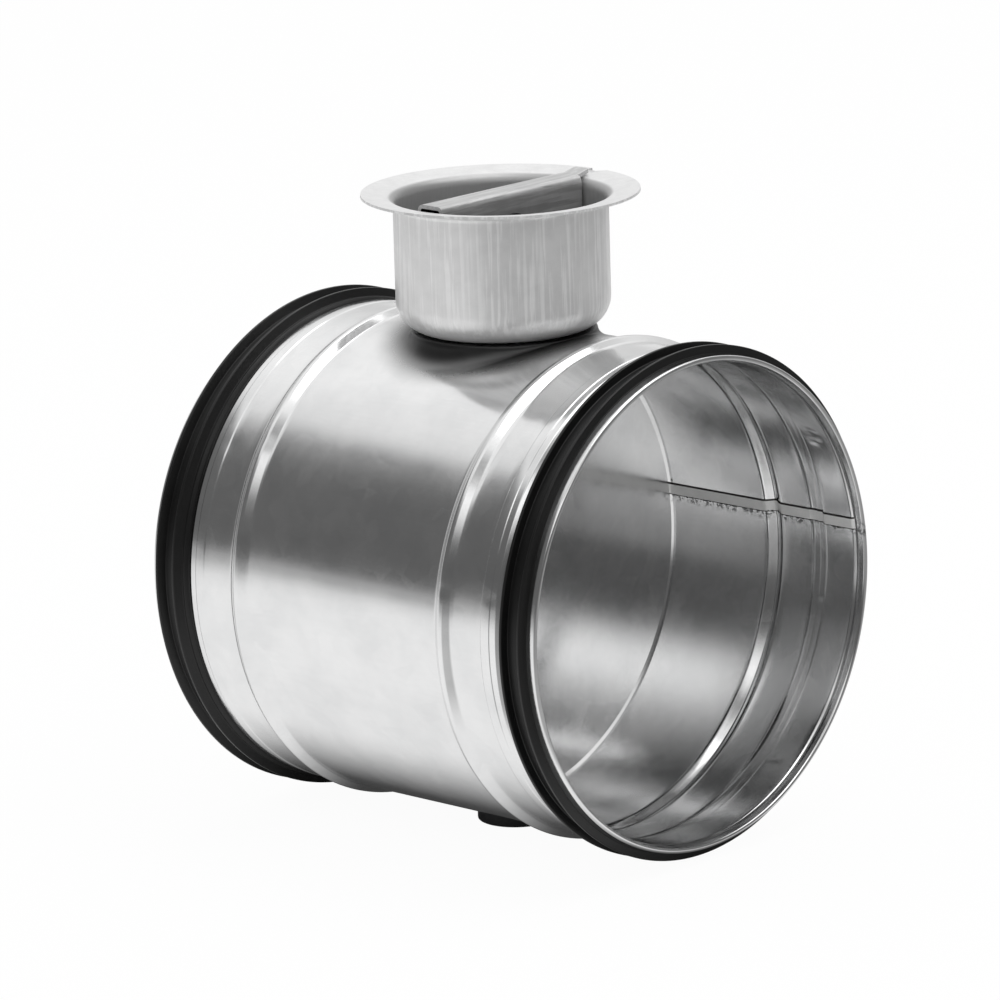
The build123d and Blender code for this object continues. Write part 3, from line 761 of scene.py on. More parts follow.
@dataclass
class Casing:
    """The tube with its rolled ends and the pressed seat under the cup, in millimetres."""

    sheet: float = 0.7
    spigot: float = 79.35
    hem_proud: float = 0.3
    hem_return: float = 3.4
    hem_gap: float = 0.4
    bead_half: float = 3.6
    bead_height: float = 2.0
    bead_bend: float = 3.2
    bead_crest: float = 0.6
    ridge_from_end: float = 23.0
    ridge_width: float = 3.5
    ridge_height: float = 0.25
    groove_from_end: float = 17.0
    groove_depth: float = 1.35
    groove_flare: float = 0.9
    groove_step: float = 1.4
    blend: float = 1.2
    seat: float = 30.0
    seat_proud: float = 0.25
    seat_draft: float = math.radians(8)
    seat_edge: float = 0.9
    seat_foot: float = 8.0
    seat_to_bead: float = 2.2
    seat_search: float = 12.0
    seat_halvings: int = 40
    seat_least: float = 1.0
    hole: float = 7.0
    zone: float = math.radians(30.5)
    half_rings: int = 30
    flat_rings: int = 5
    bend_steps: int = 8
    column_turn: float = math.radians(1.0)
    columns: int = 640
    longest_run: float = 2.5
    fold_steps: int = 14

    def __post_init__(self) -> None:
        """Reads the tube's half length and its axis height from the frame."""
        low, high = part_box("casing")
        self.half = high[0] / MM
        self.axis = (low[2] + high[2]) / 2 / MM
        self.middle = self.seat + self.seat_foot + self.seat_to_bead
        self.bead_x = self.middle + self.blend + self.bead_half
        self.ridge_x = self.half - self.ridge_from_end
        self.groove_x = self.half - self.groove_from_end
        self.groove = self.spigot - self.groove_depth
        self.fold = self.half - self.hem_return
        self.hem = self.spigot + self.hem_proud
        self.leg = self.hem - self.sheet - self.hem_gap
        self.dents = (Dent(45.7, 169, 1.6, 0.10), Dent(64.5, 169, 1.6, 0.08), Dent(-60.9, 145.7, 2.0, 0.12),
                      Dent(-45, 144, 2.0, 0.12), Dent(-36.7, 141.8, 1.8, 0.1), Dent(73, 33.7, 1.0, -0.35),
                      Dent(73, 30.5, 1.0, -0.35), Dent(66, -11, 1.2, -0.25), Dent(71.7, -53.7, 1.0, -0.35))

    def skins(self) -> tuple[list[Point], list[Point]]:
        """Lines of the outlet end's two skins from the middle stretch to the fold.

        Returns:
            The outer and the inner line, of points (along, radius).
        """
        r, fold, low = self.spigot, self.fold, self.ridge_height
        bead_top, ridge_end = r + self.bead_height, self.ridge_x + self.ridge_width
        corners = [(self.middle, r), (self.bead_x - self.bead_half, r),
                   (self.bead_x - self.bead_crest, bead_top), (self.bead_x + self.bead_crest, bead_top),
                   (self.bead_x + self.bead_half, r), (self.ridge_x - low, r), (self.ridge_x + low, r + low),
                   (ridge_end, r + low), (ridge_end + low, r), (self.groove_x, r),
                   (self.groove_x + self.groove_step, self.groove), (fold - self.groove_flare, self.groove),
                   (fold, self.leg), (self.half - self.sheet, self.leg)]
        radii = [self.bead_bend] * 4 + [low] * 4 + [self.sheet] * 3 + [self.sheet / 2]
        inner, inner_radii = shifted(corners, radii, self.sheet)
        return (thickened(rounded(corners, radii), self.longest_run),
                thickened(rounded(inner, inner_radii), self.longest_run))

    def half_section(self) -> list[Point]:
        """Section of the outlet's end as a closed line from the outer skin round the fold to the inner skin.

        Returns:
            Points (along, radius).
        """
        outer, inner = self.skins()
        gap_top = self.leg + self.hem_gap
        turn = self.sheet + self.hem_gap / 2
        centre = Vector((self.half - turn, self.hem - turn))
        angles = np.linspace(0, math.pi, self.fold_steps + 1)[1:-1]
        slot = [(self.half - self.sheet, gap_top), (self.fold, gap_top)]
        lip = [(self.fold, self.hem), (self.half - turn, self.hem)]
        arc = [tuple(centre + Vector((math.sin(a), math.cos(a))) * turn) for a in angles]
        return outer + slot + lip + arc + inner[::-1]

    def dented(self, points: np.ndarray, angles: np.ndarray) -> np.ndarray:
        """Pushes the dents into points round the axis.

        Args:
            points: Points relative to the axis.
            angles: The columns' angles.

        Returns:
            The moved points.
        """
        along = points[..., 0]
        push = sum(dent.push(along, angles[None, :], self.spigot) for dent in self.dents)
        moved = points.copy()
        moved[..., 1] -= push * np.cos(angles)
        moved[..., 2] -= push * np.sin(angles)
        return moved

    def build_end(self, name: str, side: int) -> bpy.types.Object:
        """Builds one rolled end.

        Args:
            name: The object's name.
            side: 1 for the outlet, -1 for the inlet.

        Returns:
            The object.
        """
        section = [(side * x, r) for x, r in self.half_section()]
        angles = full_turn(self.columns)
        points = self.dented(turned(section, angles), angles)
        return grid_object(name, self.placed(points), True, True)

    def placed(self, points: np.ndarray) -> np.ndarray:
        """Lifts points from the axis to their place and turns them into metres."""
        return (points + np.array([0, 0, self.axis])) * MM

    def seat_path(self, skin: Skin, azimuth: float) -> list[Point]:
        """Line (distance, height) over the seat's edge, down its wall and out on the tube.

        Args:
            skin: The skin's sizes.
            azimuth: Direction from the seat's centre.

        Returns:
            The points.
        """
        across = math.sin(azimuth)
        slope = math.tan(self.seat_draft)
        low, high = skin.seat, skin.seat + self.seat_search
        for _ in range(self.seat_halvings):
            middle = (low + high) / 2
            over = skin.top - (middle - skin.seat) / slope > skin.height(middle, across)
            low, high = (middle, high) if over else (low, middle)
        base_z = skin.height(low, across)
        wall = math.pi / 2 - self.seat_draft
        fall = math.atan(low * across ** 2 / base_z)
        corner, base = Vector((skin.seat, skin.top)), Vector((low, base_z))
        drop = (corner - base).length
        # The edge's bend leaves most of a low wall to the foot.
        back = min(skin.edge * math.tan(wall / 2), 0.3 * drop + 0.1)
        reach = min(skin.foot * math.tan((wall - fall) / 2), drop - back)
        end = low + max(reach, self.seat_least) * math.cos(fall)
        start, out = Vector((skin.seat - back, skin.top)), Vector((end, skin.height(end, across)))
        brow = corner + (base - corner) * (back / drop)
        shin = base + (corner - base) * (reach / drop)
        edge_steps, foot_steps = self.bend_steps // 2, self.bend_steps + self.bend_steps // 2
        line = []
        for a, b, c, count in ((start, corner, brow, edge_steps), (shin, base, out, foot_steps)):
            for t in (i / count for i in range(count)):
                line.append(tuple(a * (1 - t) ** 2 + b * 2 * t * (1 - t) + c * t ** 2))
        return line + [tuple(out)]

    def spoke(self, i: int, j: int) -> float:
        """Direction of a grid point from the seat's centre.

        Args:
            i: The point's row, from the centre.
            j: Its column, from the centre.

        Returns:
            The angle. Each square ring of points is spread evenly over a full turn.
        """
        if abs(i) >= abs(j) and i:
            return (0 if i > 0 else math.pi) + math.pi / 4 * j / i
        if j:
            return (math.pi / 2 if j > 0 else -math.pi / 2) - math.pi / 4 * i / j
        return 0.0

    def patch_point(self, skin: Skin, i: int, j: int) -> Triple:
        """A point of the seat and of the tube round it.

        Args:
            skin: The skin's sizes.
            i: The point's row along the duct, from the seat's centre.
            j: Its column, from the centre.

        Returns:
            The point, relative to the duct's axis.
        """
        ring = max(abs(i), abs(j), 1)
        azimuth = self.spoke(i, j)
        path = self.seat_path(skin, azimuth)
        bent = self.flat_rings + len(path)
        if ring <= self.flat_rings:
            reach = self.hole + (path[0][0] - self.hole) * (ring - 1) / self.flat_rings
            reach = reach if i or j else 0.0
            return reach * math.cos(azimuth), -reach * math.sin(azimuth), skin.top
        if ring <= bent:
            reach, height = path[ring - self.flat_rings - 1]
            return reach * math.cos(azimuth), -reach * math.sin(azimuth), height
        reach, t = path[-1][0], (ring - bent) / (self.half_rings - bent)
        x = reach * math.cos(azimuth) * (1 - t) + self.middle * i / ring * t
        y = reach * math.sin(azimuth) * (1 - t) + skin.tube * math.sin(self.zone * j / ring) * t
        return x, -y, math.sqrt(skin.tube ** 2 - y ** 2)

    def skin_grid(self, skin: Skin) -> np.ndarray:
        """One skin of the tube's middle stretch with the seat raised from it.

        Args:
            skin: The skin's sizes.

        Returns:
            Points relative to the axis: rows along the duct, columns round it, the seat's first.
        """
        index = range(-self.half_rings, self.half_rings + 1)
        patch = np.array([[self.patch_point(skin, i, j) for j in index] for i in index])
        left = FULL_TURN - 2 * self.zone
        count = round(left / self.column_turn)
        angles = math.pi / 2 + self.zone + np.arange(1, count) * left / count
        tube = turned([(self.middle * i / self.half_rings, skin.tube) for i in index], angles)
        return np.concatenate([patch, tube], axis=1)

    def build_middle(self) -> bpy.types.Object:
        """Builds the middle stretch, closed at both ends and round the spindle's hole.

        Returns:
            The object.
        """
        wall_shift = self.sheet / math.cos(self.seat_draft) - self.sheet * math.tan(self.seat_draft)
        top = self.spigot + self.seat_proud
        outer = Skin(self.spigot, self.seat, self.seat_edge, self.seat_foot, top)
        inner = Skin(self.spigot - self.sheet, self.seat - wall_shift, self.seat_edge - self.sheet / 2,
                     self.seat_foot + self.sheet, top - self.sheet)
        work = bmesh.new()
        loops = [self.add_skin(work, self.skin_grid(skin)) for skin in (outer, inner)]
        for first, second in zip(*loops):
            for k, corner in enumerate(first):
                work.faces.new((corner, first[k - 1], second[k - 1], second[k]))
        mesh = bpy.data.meshes.new("casing_middle")
        work.to_mesh(mesh)
        work.free()
        return finished("casing_middle", mesh)

    def add_skin(self, work: bmesh.types.BMesh, skin: np.ndarray) -> list[list[bmesh.types.BMVert]]:
        """Adds one skin to a mesh and leaves the spindle's hole open.

        Args:
            work: The mesh.
            skin: The skin's points.

        Returns:
            The corners round its three open ends: inlet side, outlet side and hole.
        """
        count, width = skin.shape[:2]
        centre = self.half_rings
        inside = {centre - 1, centre}
        verts = [[work.verts.new(p) for p in row] for row in self.placed(skin)]
        for i in range(count - 1):
            for j in range(width):
                if i in inside and j in inside:
                    continue
                k = (j + 1) % width
                work.faces.new((verts[i][j], verts[i + 1][j], verts[i + 1][k], verts[i][k]))
        ring = [(-1, -1), (0, -1), (1, -1), (1, 0), (1, 1), (0, 1), (-1, 1), (-1, 0)]
        hole = [verts[centre + a][centre + b] for a, b in ring]
        work.verts.remove(verts[centre][centre])
        return [verts[0], verts[-1], hole]

    def build(self, finish: bpy.types.Material) -> None:
        """Builds the three stretches of the casing in place of its solid.

        Args:
            finish: The sheet's material.
        """
        dress(self.build_middle(), finish, "casing", "galvanised", "casing")
        for name, side in (("casing_outlet_end", 1), ("casing_inlet_end", -1)):
            dress(self.build_end(name, side), finish, "casing", "galvanised", "casing")


# ---------------------------------------------------------------- gaskets
@dataclass
class Gasket:
    """Rubber band with two sealing lips in the groove at each end, in millimetres."""

    casing: Casing
    band: float = 1.9
    lip_height: float = 2.7
    outer_from_end: float = 4.4
    inner_from_end: float = 11.8
    land: float = 1.0
    root: float = 2.4
    lean: float = 0.5
    fit: float = 0.02
    soft: float = 0.35
    columns: int = 600

    def section(self) -> list[Point]:
        """Closed section with softened edges.

        Returns:
            Points (along, radius).
        """
        tube = self.casing
        leg, fold = tube.leg, tube.fold
        start = tube.groove_x + tube.groove_step + tube.sheet / 2
        floor = tube.groove + self.fit
        top = tube.groove + self.band
        mouth = (start + self.land, floor)
        corners = [mouth, (fold - tube.groove_flare, floor), (fold, leg + self.fit), (fold, top)]
        radii = [0.3, 0.1, 0.3]
        lip = top + self.lip_height
        for crest in (tube.half - self.outer_from_end, tube.half - self.inner_from_end):
            root = crest - self.lean
            corners += [(root + self.root / 2, top), (crest + self.land / 2, lip),
                        (crest - self.land / 2, lip), (root - self.root / 2, top)]
            radii += [self.soft] * 4
        corners += [(start + self.band / 2, top), (start, top - self.band / 2), (start, floor), mouth]
        radii += [0.4, 0.3, 0.1]
        return rounded(corners, radii, math.radians(22))[:-1]

    def build(self, finish: bpy.types.Material) -> None:
        """Builds both gaskets.

        Args:
            finish: The rubber's material.
        """
        for name, side in (("outlet_gasket", 1), ("inlet_gasket", -1)):
            line = [(side * x, r) for x, r in self.section()]
            points = self.casing.placed(turned(line, full_turn(self.columns)))
            dress(grid_object(name + "_band", points, True, True), finish, "casing", "epdm", name)


# ---------------------------------------------------------------- seam
@dataclass
class Seam:
    """The tube's welded lap on the inner skin, in millimetres and degrees."""

    casing: Casing
    low: float = 7.0
    high: float = 9.5
    lap: float = 0.25
    edge_width: float = 0.42
    edge_height: float = 0.32
    sunk: float = 0.15
    end_gap: float = 2.0
    spacing: float = 1.15
    spot: float = 0.5
    kept: float = 0.72
    seed: int = 7
    wander: tuple[Triple, Triple] = ((-0.5, 0, -0.3), (0.5, 0, 0.2))
    stretch: tuple[Triple, Triple] = ((0.7, 0.35, 0.35), (1.7, 0.55, 0.95))
    ball_levels: int = 3

    def weld_place(self) -> Point:
        """The weld's place (across, over) round the duct's axis."""
        radius, angle = self.casing.spigot - self.casing.sheet, math.radians(self.low)
        return radius * math.cos(angle), radius * math.sin(angle)

    def line(self) -> list[Point]:
        """The inner skin from end to end.

        Returns:
            Points (along, radius).
        """
        outlet = [p for p in self.casing.skins()[1] if p[0] < self.casing.half - self.end_gap]
        return [(-x, r) for x, r in outlet[::-1]] + outlet

    def strip(self, name: str, low: float, high: float, height: float) -> bpy.types.Object:
        """Makes a thin closed strip that lies on the inner skin.

        Args:
            name: The object's name.
            low: The angle of its lower edge.
            high: The angle of its upper edge.
            height: How far it stands out of the skin.

        Returns:
            The object.
        """
        line = self.line()
        raised = turned([(x, r - height) for x, r in line], np.radians([low, high]))
        rooted = turned([(x, r + self.sunk) for x, r in line], np.radians([high, low]))
        rows = np.concatenate([raised, rooted], axis=1)
        ends = [np.repeat(rows[k].mean(axis=0)[None, None, :], 4, axis=1) for k in (0, -1)]
        return grid_object(name, self.casing.placed(np.concatenate([ends[0], rows, ends[1]])), False, True)

    def spots_tree(self, finish: bpy.types.Material) -> tuple[bpy.types.NodeTree, dict[str, str]]:
        """Builds the Geometry Nodes tree that strews weld spots along a line.

        Args:
            finish: The spots' material.

        Returns:
            The tree and its inputs' identifiers by name.
        """
        tree = bpy.data.node_groups.new("weld_spots", "GeometryNodeTree")
        graph = Graph(tree)
        tree.interface.new_socket("Geometry", in_out="INPUT", socket_type="NodeSocketGeometry")
        names = {}
        for name, kind in (("Spacing", "NodeSocketFloat"), ("Size", "NodeSocketFloat"),
                           ("Kept", "NodeSocketFloat"), ("Seed", "NodeSocketInt")):
            names[name] = tree.interface.new_socket(name, in_out="INPUT", socket_type=kind).identifier
        tree.interface.new_socket("Geometry", in_out="OUTPUT", socket_type="NodeSocketGeometry")
        given = {name: graph.node("NodeGroupInput", output=name) for name in ("Geometry", *names)}
        drift = [tuple(d * MM for d in way) for way in self.wander]
        curve = graph.node("GeometryNodeMeshToCurve", {}, {"Mesh": given["Geometry"]})
        points = graph.node("GeometryNodeCurveToPoints", {"mode": "LENGTH"},
                            {"Curve": curve, "Length": given["Spacing"]})
        gone = graph.node("FunctionNodeRandomValue", {"data_type": "BOOLEAN"},
                          {6: 1 - given["Kept"], 8: given["Seed"]}, output=3)
        left = graph.node("GeometryNodeDeleteGeometry", {"domain": "POINT"},
                          {"Geometry": points, "Selection": gone})
        offset = graph.node("FunctionNodeRandomValue", {"data_type": "FLOAT_VECTOR"},
                            {0: drift[0], 1: drift[1], 8: given["Seed"]})
        placed = graph.node("GeometryNodeSetPosition", {}, {"Geometry": left, "Offset": offset})
        ball = graph.node("GeometryNodeMeshIcoSphere", {},
                          {"Radius": given["Size"], "Subdivisions": self.ball_levels})
        size = graph.node("FunctionNodeRandomValue", {"data_type": "FLOAT_VECTOR"},
                          {0: self.stretch[0], 1: self.stretch[1], 8: given["Seed"] + 1})
        spots = graph.node("GeometryNodeInstanceOnPoints", {},
                           {"Points": placed, "Instance": ball, "Scale": size})
        real = graph.node("GeometryNodeRealizeInstances", {}, {"Geometry": spots})
        done = graph.node("GeometryNodeSetMaterial", {}, {"Geometry": real, "Material": finish})
        graph.node("NodeGroupOutput", {}, {"Geometry": done})
        return tree, names

    def spots(self, finish: bpy.types.Material) -> bpy.types.Object:
        """Makes the weld spots along the lap's lower edge.

        Args:
            finish: Their material.

        Returns:
            The object, with a plain mesh.
        """
        points = turned(self.line(), np.radians([self.low]))[:, 0, :]
        mesh = bpy.data.meshes.new("seam_spots")
        edges = [(k, k + 1) for k in range(len(points) - 1)]
        mesh.from_pydata(self.casing.placed(points).tolist(), edges, [])
        made = linked("seam_spots", mesh)
        tree, names = self.spots_tree(finish)
        modifier = made.modifiers.new("spots", "NODES")
        modifier.node_group = tree
        values = {"Spacing": self.spacing * MM, "Size": self.spot * MM, "Kept": self.kept, "Seed": self.seed}
        for name, value in values.items():
            modifier[names[name]] = value
        solid = bpy.data.meshes.new_from_object(made.evaluated_get(bpy.context.evaluated_depsgraph_get()))
        made.modifiers.remove(modifier)
        made.data = solid
        solid.shade_smooth()
        return made

    def build(self, sheet: bpy.types.Material, burnt: bpy.types.Material) -> None:
        """Builds the lap, a painted shadow strip along its upper edge and the weld along its lower edge.

        Args:
            sheet: The sheet's material.
            burnt: The weld's material, also on the painted shadow strip.
        """
        width = math.degrees(self.edge_width / self.casing.spigot)
        dress(self.strip("seam_lap", self.low, self.high, self.lap), sheet, "casing", "galvanised")
        # Painted shadow: a thin dark strip along the lap's upper edge, where its step is in shade.
        edges = [self.strip("seam_lap_shadow", self.high, self.high + width, self.edge_height),
                 self.strip("seam_root", self.low - width / 2, self.low, self.edge_height)]
        for piece in [*edges, self.spots(burnt)]:
            dress(piece, burnt, "casing", "black_oxide")


# ---------------------------------------------------------------- cup
@dataclass
class Cup:
    """Deep-drawn cup with its flared flange and index notch, in millimetres."""

    sheet: float = 0.8
    corner: float = 10.0
    flare: float = 2.6
    wall: float = 34.6
    rise: float = math.radians(8)
    floor_hole: float = 7.0
    bend_turn: float = math.radians(6)
    longest_run: float = 2.0
    notch_from: float = -1.0
    notch_to: float = 6.0
    notch_depth: float = 3.2
    notch_ramp: float = 2.5
    notch_blend: float = 4.8
    notch_steps: int = 7
    columns: int = 480

    def __post_init__(self) -> None:
        """Reads the cup's floor, rim and flange radius from the frame."""
        low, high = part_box("cup")
        self.bottom = low[2] / MM
        self.top = high[2] / MM
        self.rim = high[0] / MM

    def section(self) -> list[Point]:
        """Closed section (radius, height) from the floor's hole out to the flange and back.

        Returns:
            The points.
        """
        edge = self.top - self.sheet * math.cos(self.rise)
        wall_top = edge - (self.rim - self.wall) * math.tan(self.rise)
        corners = [(self.floor_hole, self.bottom), (self.wall, self.bottom), (self.wall, wall_top),
                   (self.rim, edge)]
        radii = [self.corner, self.flare]
        inner, inner_radii = shifted(corners, radii, -self.sheet)
        outside = thickened(rounded(corners, radii, self.bend_turn), self.longest_run)
        inside = thickened(rounded(inner, inner_radii, self.bend_turn), self.longest_run)
        return outside + inside[::-1]

    def build(self, finish: bpy.types.Material) -> None:
        """Builds the cup.

        Args:
            finish: The sheet's material.
        """
        angles, rims = self.rim_line()
        points = upright(self.section(), angles)
        reach = np.hypot(points[..., 0], points[..., 1])
        outer = np.clip((reach - (self.rim - self.notch_blend)) / self.notch_blend, 0, 1)
        factor = 1 + outer * (rims[None, :] / self.rim - 1)
        points[..., 0] *= factor
        points[..., 1] *= factor
        dress(grid_object("cup_shell", points * MM, True, True, 30), finish, "casing", "drawn_steel", "cup")

    def rim_line(self) -> tuple[np.ndarray, np.ndarray]:
        """Angles round the flange, with the notch's corners among them, and its radius at each.

        Returns:
            The angles and the radii.
        """
        floor = self.rim - self.notch_depth
        sharp = math.acos(self.notch_from / self.rim)
        ramp_in = math.acos((self.notch_to - self.notch_ramp) / floor)
        ramp_out = math.acos(self.notch_to / self.rim)
        tiny = math.radians(0.05)
        marks = [(ramp_out, self.rim), (ramp_in, floor), (sharp, floor), (sharp + tiny, self.rim)]
        marks += [(a, floor) for a in np.linspace(ramp_in, sharp, self.notch_steps + 1)[1:-1]]
        plain = [(a, self.rim) for a in full_turn(self.columns) if not ramp_out - tiny < a < sharp + 2 * tiny]
        everything = np.array(sorted(plain + marks))
        return everything[:, 0], everything[:, 1]


# ---------------------------------------------------------------- studio
@dataclass(frozen=True)
class Side:
    """How bright the room is on one side, from the horizon to the zenith."""

    azimuth: float
    inner: float
    outer: float
    stops: tuple[tuple[float, float], ...]

    def mask(self, graph: Graph, x: Link, y: Link) -> Link:
        """Where this side lies.

        Args:
            graph: The graph.
            x: The level direction's X.
            y: Its Y.

        Returns:
            1 within the inner angle from its azimuth, 0 outside the outer angle.
        """
        angle = math.radians(self.azimuth)
        along = x * math.cos(angle) + y * math.sin(angle)
        return along.between(math.cos(math.radians(self.outer)), math.cos(math.radians(self.inner)))


# The room's strength in reflections, its plain level for soft light, and how it brightens with height.
GLOW = 1.35
PLAIN = 0.85
LEFT_STOPS = ((0.0, 0.19), (0.035, 0.11), (0.14, 0.095), (0.44, 0.105), (0.54, 0.13), (0.62, 0.24),
              (0.68, 0.66), (0.73, 0.67), (0.77, 0.56), (0.83, 0.74), (1.0, 0.74))
BACKDROP = Side(135, 30, 70, ((0.0, 0.66), (0.20, 0.52), (0.35, 0.56), (0.60, 0.76), (1.0, 0.78)))
CAMERA_SIDE = Side(-35, 22, 46, ((0.0, 0.10), (0.24, 0.085), (0.34, 0.11), (0.41, 0.24), (0.46, 0.50),
                                 (0.53, 0.85), (0.61, 1.0), (0.69, 0.80), (0.73, 0.40), (0.77, 0.22),
                                 (0.82, 0.35), (0.87, 0.8), (1.0, 0.8)))
RIGHT = Side(45, 35, 62, ((0.0, 0.15), (0.72, 0.15), (0.78, 0.17), (0.84, 0.50), (1.0, 0.75)))


@dataclass(frozen=True)
class Floor:
    """The pale floor, with a painted shadow under the object in reflections and dimmer on the room's dark
    sides, with reaches in metres.
    """

    half: float = 6.0
    tone: float = 0.9
    seen: float = 0.96
    mirrored: float = 0.88
    under: float = 0.95
    under_along: Point = (0.08, 0.12)
    under_across: Point = (0.022, 0.075)
    near: float = 0.62
    near_reach: Point = (0.12, 0.20)
    wide: float = 0.12
    wide_reach: Point = (0.20, 0.45)
    fade: float = 0.6
    fade_reach: Point = (0.35, 1.6)

    def glow(self, graph: Graph) -> Link:
        """How bright the floor is in reflections.

        Args:
            graph: The floor's graph.

        Returns:
            The strength, from 0 to 1.
        """
        place = graph.node("ShaderNodeTexCoord", output="Object")
        flat = graph.laid_flat(place)
        x, y = graph.level(flat)
        away = graph.node("ShaderNodeVectorMath", {"operation": "LENGTH"}, [flat], output="Value")
        dark = (CAMERA_SIDE.mask(graph, x, y) + RIGHT.mask(graph, x, y)).math("MINIMUM", 1)
        along, across = (graph.axis(place, k).math("ABSOLUTE") for k in (0, 1))
        # Painted shadow: the floor's glow in reflections is dimmed under the object.
        under = (1 - across.between(*self.under_across)) * (1 - along.between(*self.under_along))
        sides = away.between(*self.near_reach) * self.near + away.between(*self.wide_reach) * self.wide
        near = (1 - under * self.under) * (1 - dark * sides)
        return near * (1 - away.between(*self.fade_reach) * self.fade)

    def build(self) -> None:
        """Lays the floor, white to the camera, with the object's soft shadow and a painted shadow under it in
        reflections.
        """
        mesh = bpy.data.meshes.new("floor")
        s = self.half
        mesh.from_pydata([(-s, -s, 0), (s, -s, 0), (s, s, 0), (-s, s, 0)], [], [(0, 1, 2, 3)])
        made = linked("floor", mesh)
        material, graph = new_material("floor")
        camera, glossy, through = (graph.node("ShaderNodeLightPath", output=f"Is {ray} Ray")
                                   for ray in ("Camera", "Glossy", "Transmission"))
        lit = graph.node("ShaderNodeBsdfDiffuse", {}, {"Color": (*grey(self.tone), 1)})
        strength = 1 - (1 - self.glow(graph)) * glossy
        shining = graph.node("ShaderNodeEmission", {}, {"Color": (1, 1, 1, 1), "Strength": strength})
        share = camera * self.seen + (glossy + through) * self.mirrored
        mixed = graph.node("ShaderNodeMixShader", {}, [share, lit, shining])
        graph.node("ShaderNodeOutputMaterial", {}, {"Surface": mixed})
        mesh.materials.append(material)


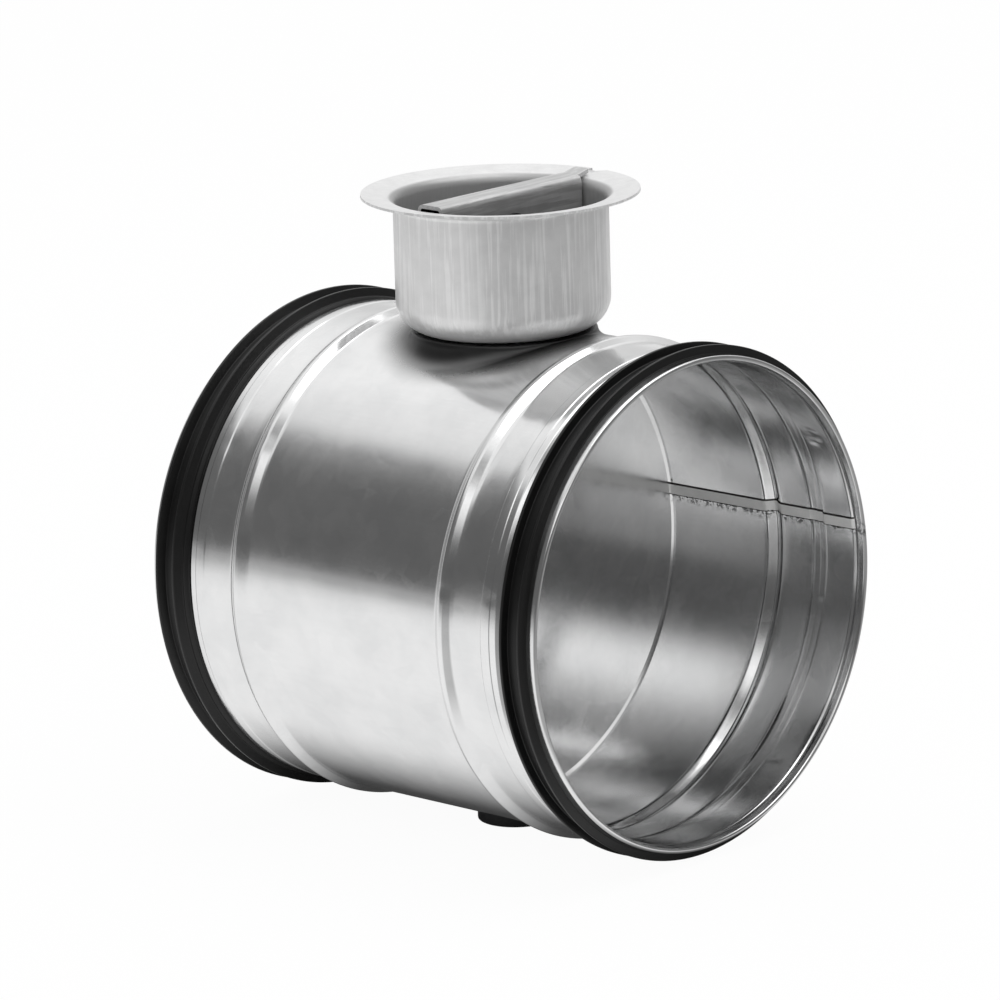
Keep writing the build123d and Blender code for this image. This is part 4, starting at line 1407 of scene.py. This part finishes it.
@dataclass
class Studio:
    """Pale floor, soft light and the camera, in metres."""

    azimuth: float = math.radians(43.421)
    elevation: float = math.radians(13.378)
    roll: float = math.radians(-1.637)
    distance: float = 2.32931
    sideways: float = -0.00356
    lift: float = 0.02172
    lens: float = 259.09
    sensor: float = 36.0
    farthest: float = 20.0
    lamp_place: Triple = (0.35, 0.35, 1.6)
    lamp_size: Point = (1.4, 1.4)
    lamp_aim: Triple = (0.0, 0.0, 0.08)
    lamp_watts: float = 8.0

    def camera(self, target: Vector) -> None:
        """Places the camera.

        Args:
            target: The crossing of the duct's axis and the spindle's.
        """
        a, e, roll = self.azimuth, self.elevation, self.roll
        back = Vector((math.sin(a) * math.cos(e), -math.cos(a) * math.cos(e), math.sin(e)))
        level = Vector((math.cos(a), math.sin(a), 0))
        up = back.cross(level)
        right = level * math.cos(roll) + up * math.sin(roll)
        top = up * math.cos(roll) - level * math.sin(roll)
        data = bpy.data.cameras.new("camera")
        data.lens = self.lens
        data.sensor_width = self.sensor
        data.clip_end = self.farthest
        made = linked("camera", data)
        place = target + back * self.distance + right * self.sideways + top * self.lift
        made.matrix_world = Matrix.Translation(place) @ Matrix((right, top, back)).transposed().to_4x4()
        bpy.context.scene.camera = made

    def world(self) -> None:
        """White to the camera; to the object a bright ceiling over a room that differs from side to side."""
        world = bpy.data.worlds.new("world")
        bpy.context.scene.world = world
        world.use_nodes = True
        graph = Graph(world.node_tree)
        way = graph.node("ShaderNodeTexCoord", output="Generated")
        height = graph.axis(way, 2)
        x, y = graph.level(graph.laid_flat(way))
        room = graph.node("ShaderNodeValToRGB", {"stops": LEFT_STOPS}, [height])
        for side in (BACKDROP, CAMERA_SIDE, RIGHT):
            ramp = graph.node("ShaderNodeValToRGB", {"stops": side.stops}, [height])
            room = graph.mix(side.mask(graph, x, y), room, ramp)
        white = graph.node("ShaderNodeLightPath", output="Is Camera Ray")
        spread = graph.node("ShaderNodeLightPath", output="Is Diffuse Ray")
        colour = graph.mix(white, graph.mix(spread, room, grey(PLAIN / GLOW)), grey(1))
        strength = GLOW + white * (1 - GLOW)
        glow = graph.node("ShaderNodeBackground", {}, {"Color": colour, "Strength": strength})
        graph.node("ShaderNodeOutputWorld", {}, {"Surface": glow})

    def lamp(self) -> None:
        """Hangs the soft box over the object."""
        data = bpy.data.lights.new("overhead", "AREA")
        data.shape = "RECTANGLE"
        data.size, data.size_y = self.lamp_size
        data.energy = self.lamp_watts
        made = linked("overhead", data)
        made.location = self.lamp_place
        way = Vector(self.lamp_aim) - Vector(self.lamp_place)
        made.rotation_euler = way.to_track_quat("-Z", "Y").to_euler()

    def build(self, target: Vector) -> None:
        """Builds the studio.

        Args:
            target: The point that the camera is set from.
        """
        self.camera(target)
        Floor().build()
        self.world()
        self.lamp()
        bpy.context.scene.view_settings.view_transform = "Standard"


def main() -> None:
    """Builds the sub-assemblies in order and dresses what stays from the frame."""
    logging.basicConfig(level=logging.INFO, format="%(name)s: %(message)s")
    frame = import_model()
    casing = Casing()
    seam = Seam(casing)
    # The casing's sheet carries a painted shadow under the cup and painted shade inside the tube.
    casing.build(Galvanised(wear_and_shade=WearAndShade(casing.axis, seam.weld_place())).material())
    # Burnt zinc for the weld and its root, also used for the painted shadow along the lap's upper edge.
    burnt = Small("burnt_zinc_and_lap_shadow", (0.035, 0.034, 0.033), 0.2, 0.7).material()
    seam.build(Small("seam_zinc", (0.84, 0.84, 0.83), 0.35, 0.45).material(), burnt)
    Gasket(casing).build(Rubber().material())
    # The cup's inside gets painted shade.
    Cup().build(Satin("drawn_cup", 0.88, 0.45, 0.55, streak=0.13, hollow=(1, 1), top_marks=0.2).material())
    finishes = {
        "galvanised": Galvanised("blade_sheet", 0.84, 0.19, Grain.UPRIGHT, cloudiness=0.12),
        # The handle's channel is painted almost black inside, as shade.
        "drawn_steel": Satin("folded_handle", grain=Grain.ACROSS, hollow=(1, 0), shadow=0.04),
        "epdm": Rubber("seal_rubber"),
        "black_nylon": Small("black_nylon", (0.02, 0.02, 0.021), 0.0, 0.42),
        "zinc_plated": Small("zinc_plated", (0.62, 0.63, 0.65), 1.0, 0.3),
        "black_oxide": Small("black_oxide", (0.03, 0.03, 0.032), 0.6, 0.4),
        "spring_steel": Small("spring_steel", (0.3, 0.3, 0.31), 1.0, 0.35),
    }
    materials = {slot: finish.material() for slot, finish in finishes.items()}
    slots = {part["node"]: part["material_slot"] for part in frame["record"]["subparts"]}
    for name, node in frame["nodes"].items():
        node.data.materials.clear()
        node.data.materials.append(materials[slots[name]])
    Studio().build(Vector((0, 0, casing.axis * MM)))


if __name__ == "__main__":
    main()
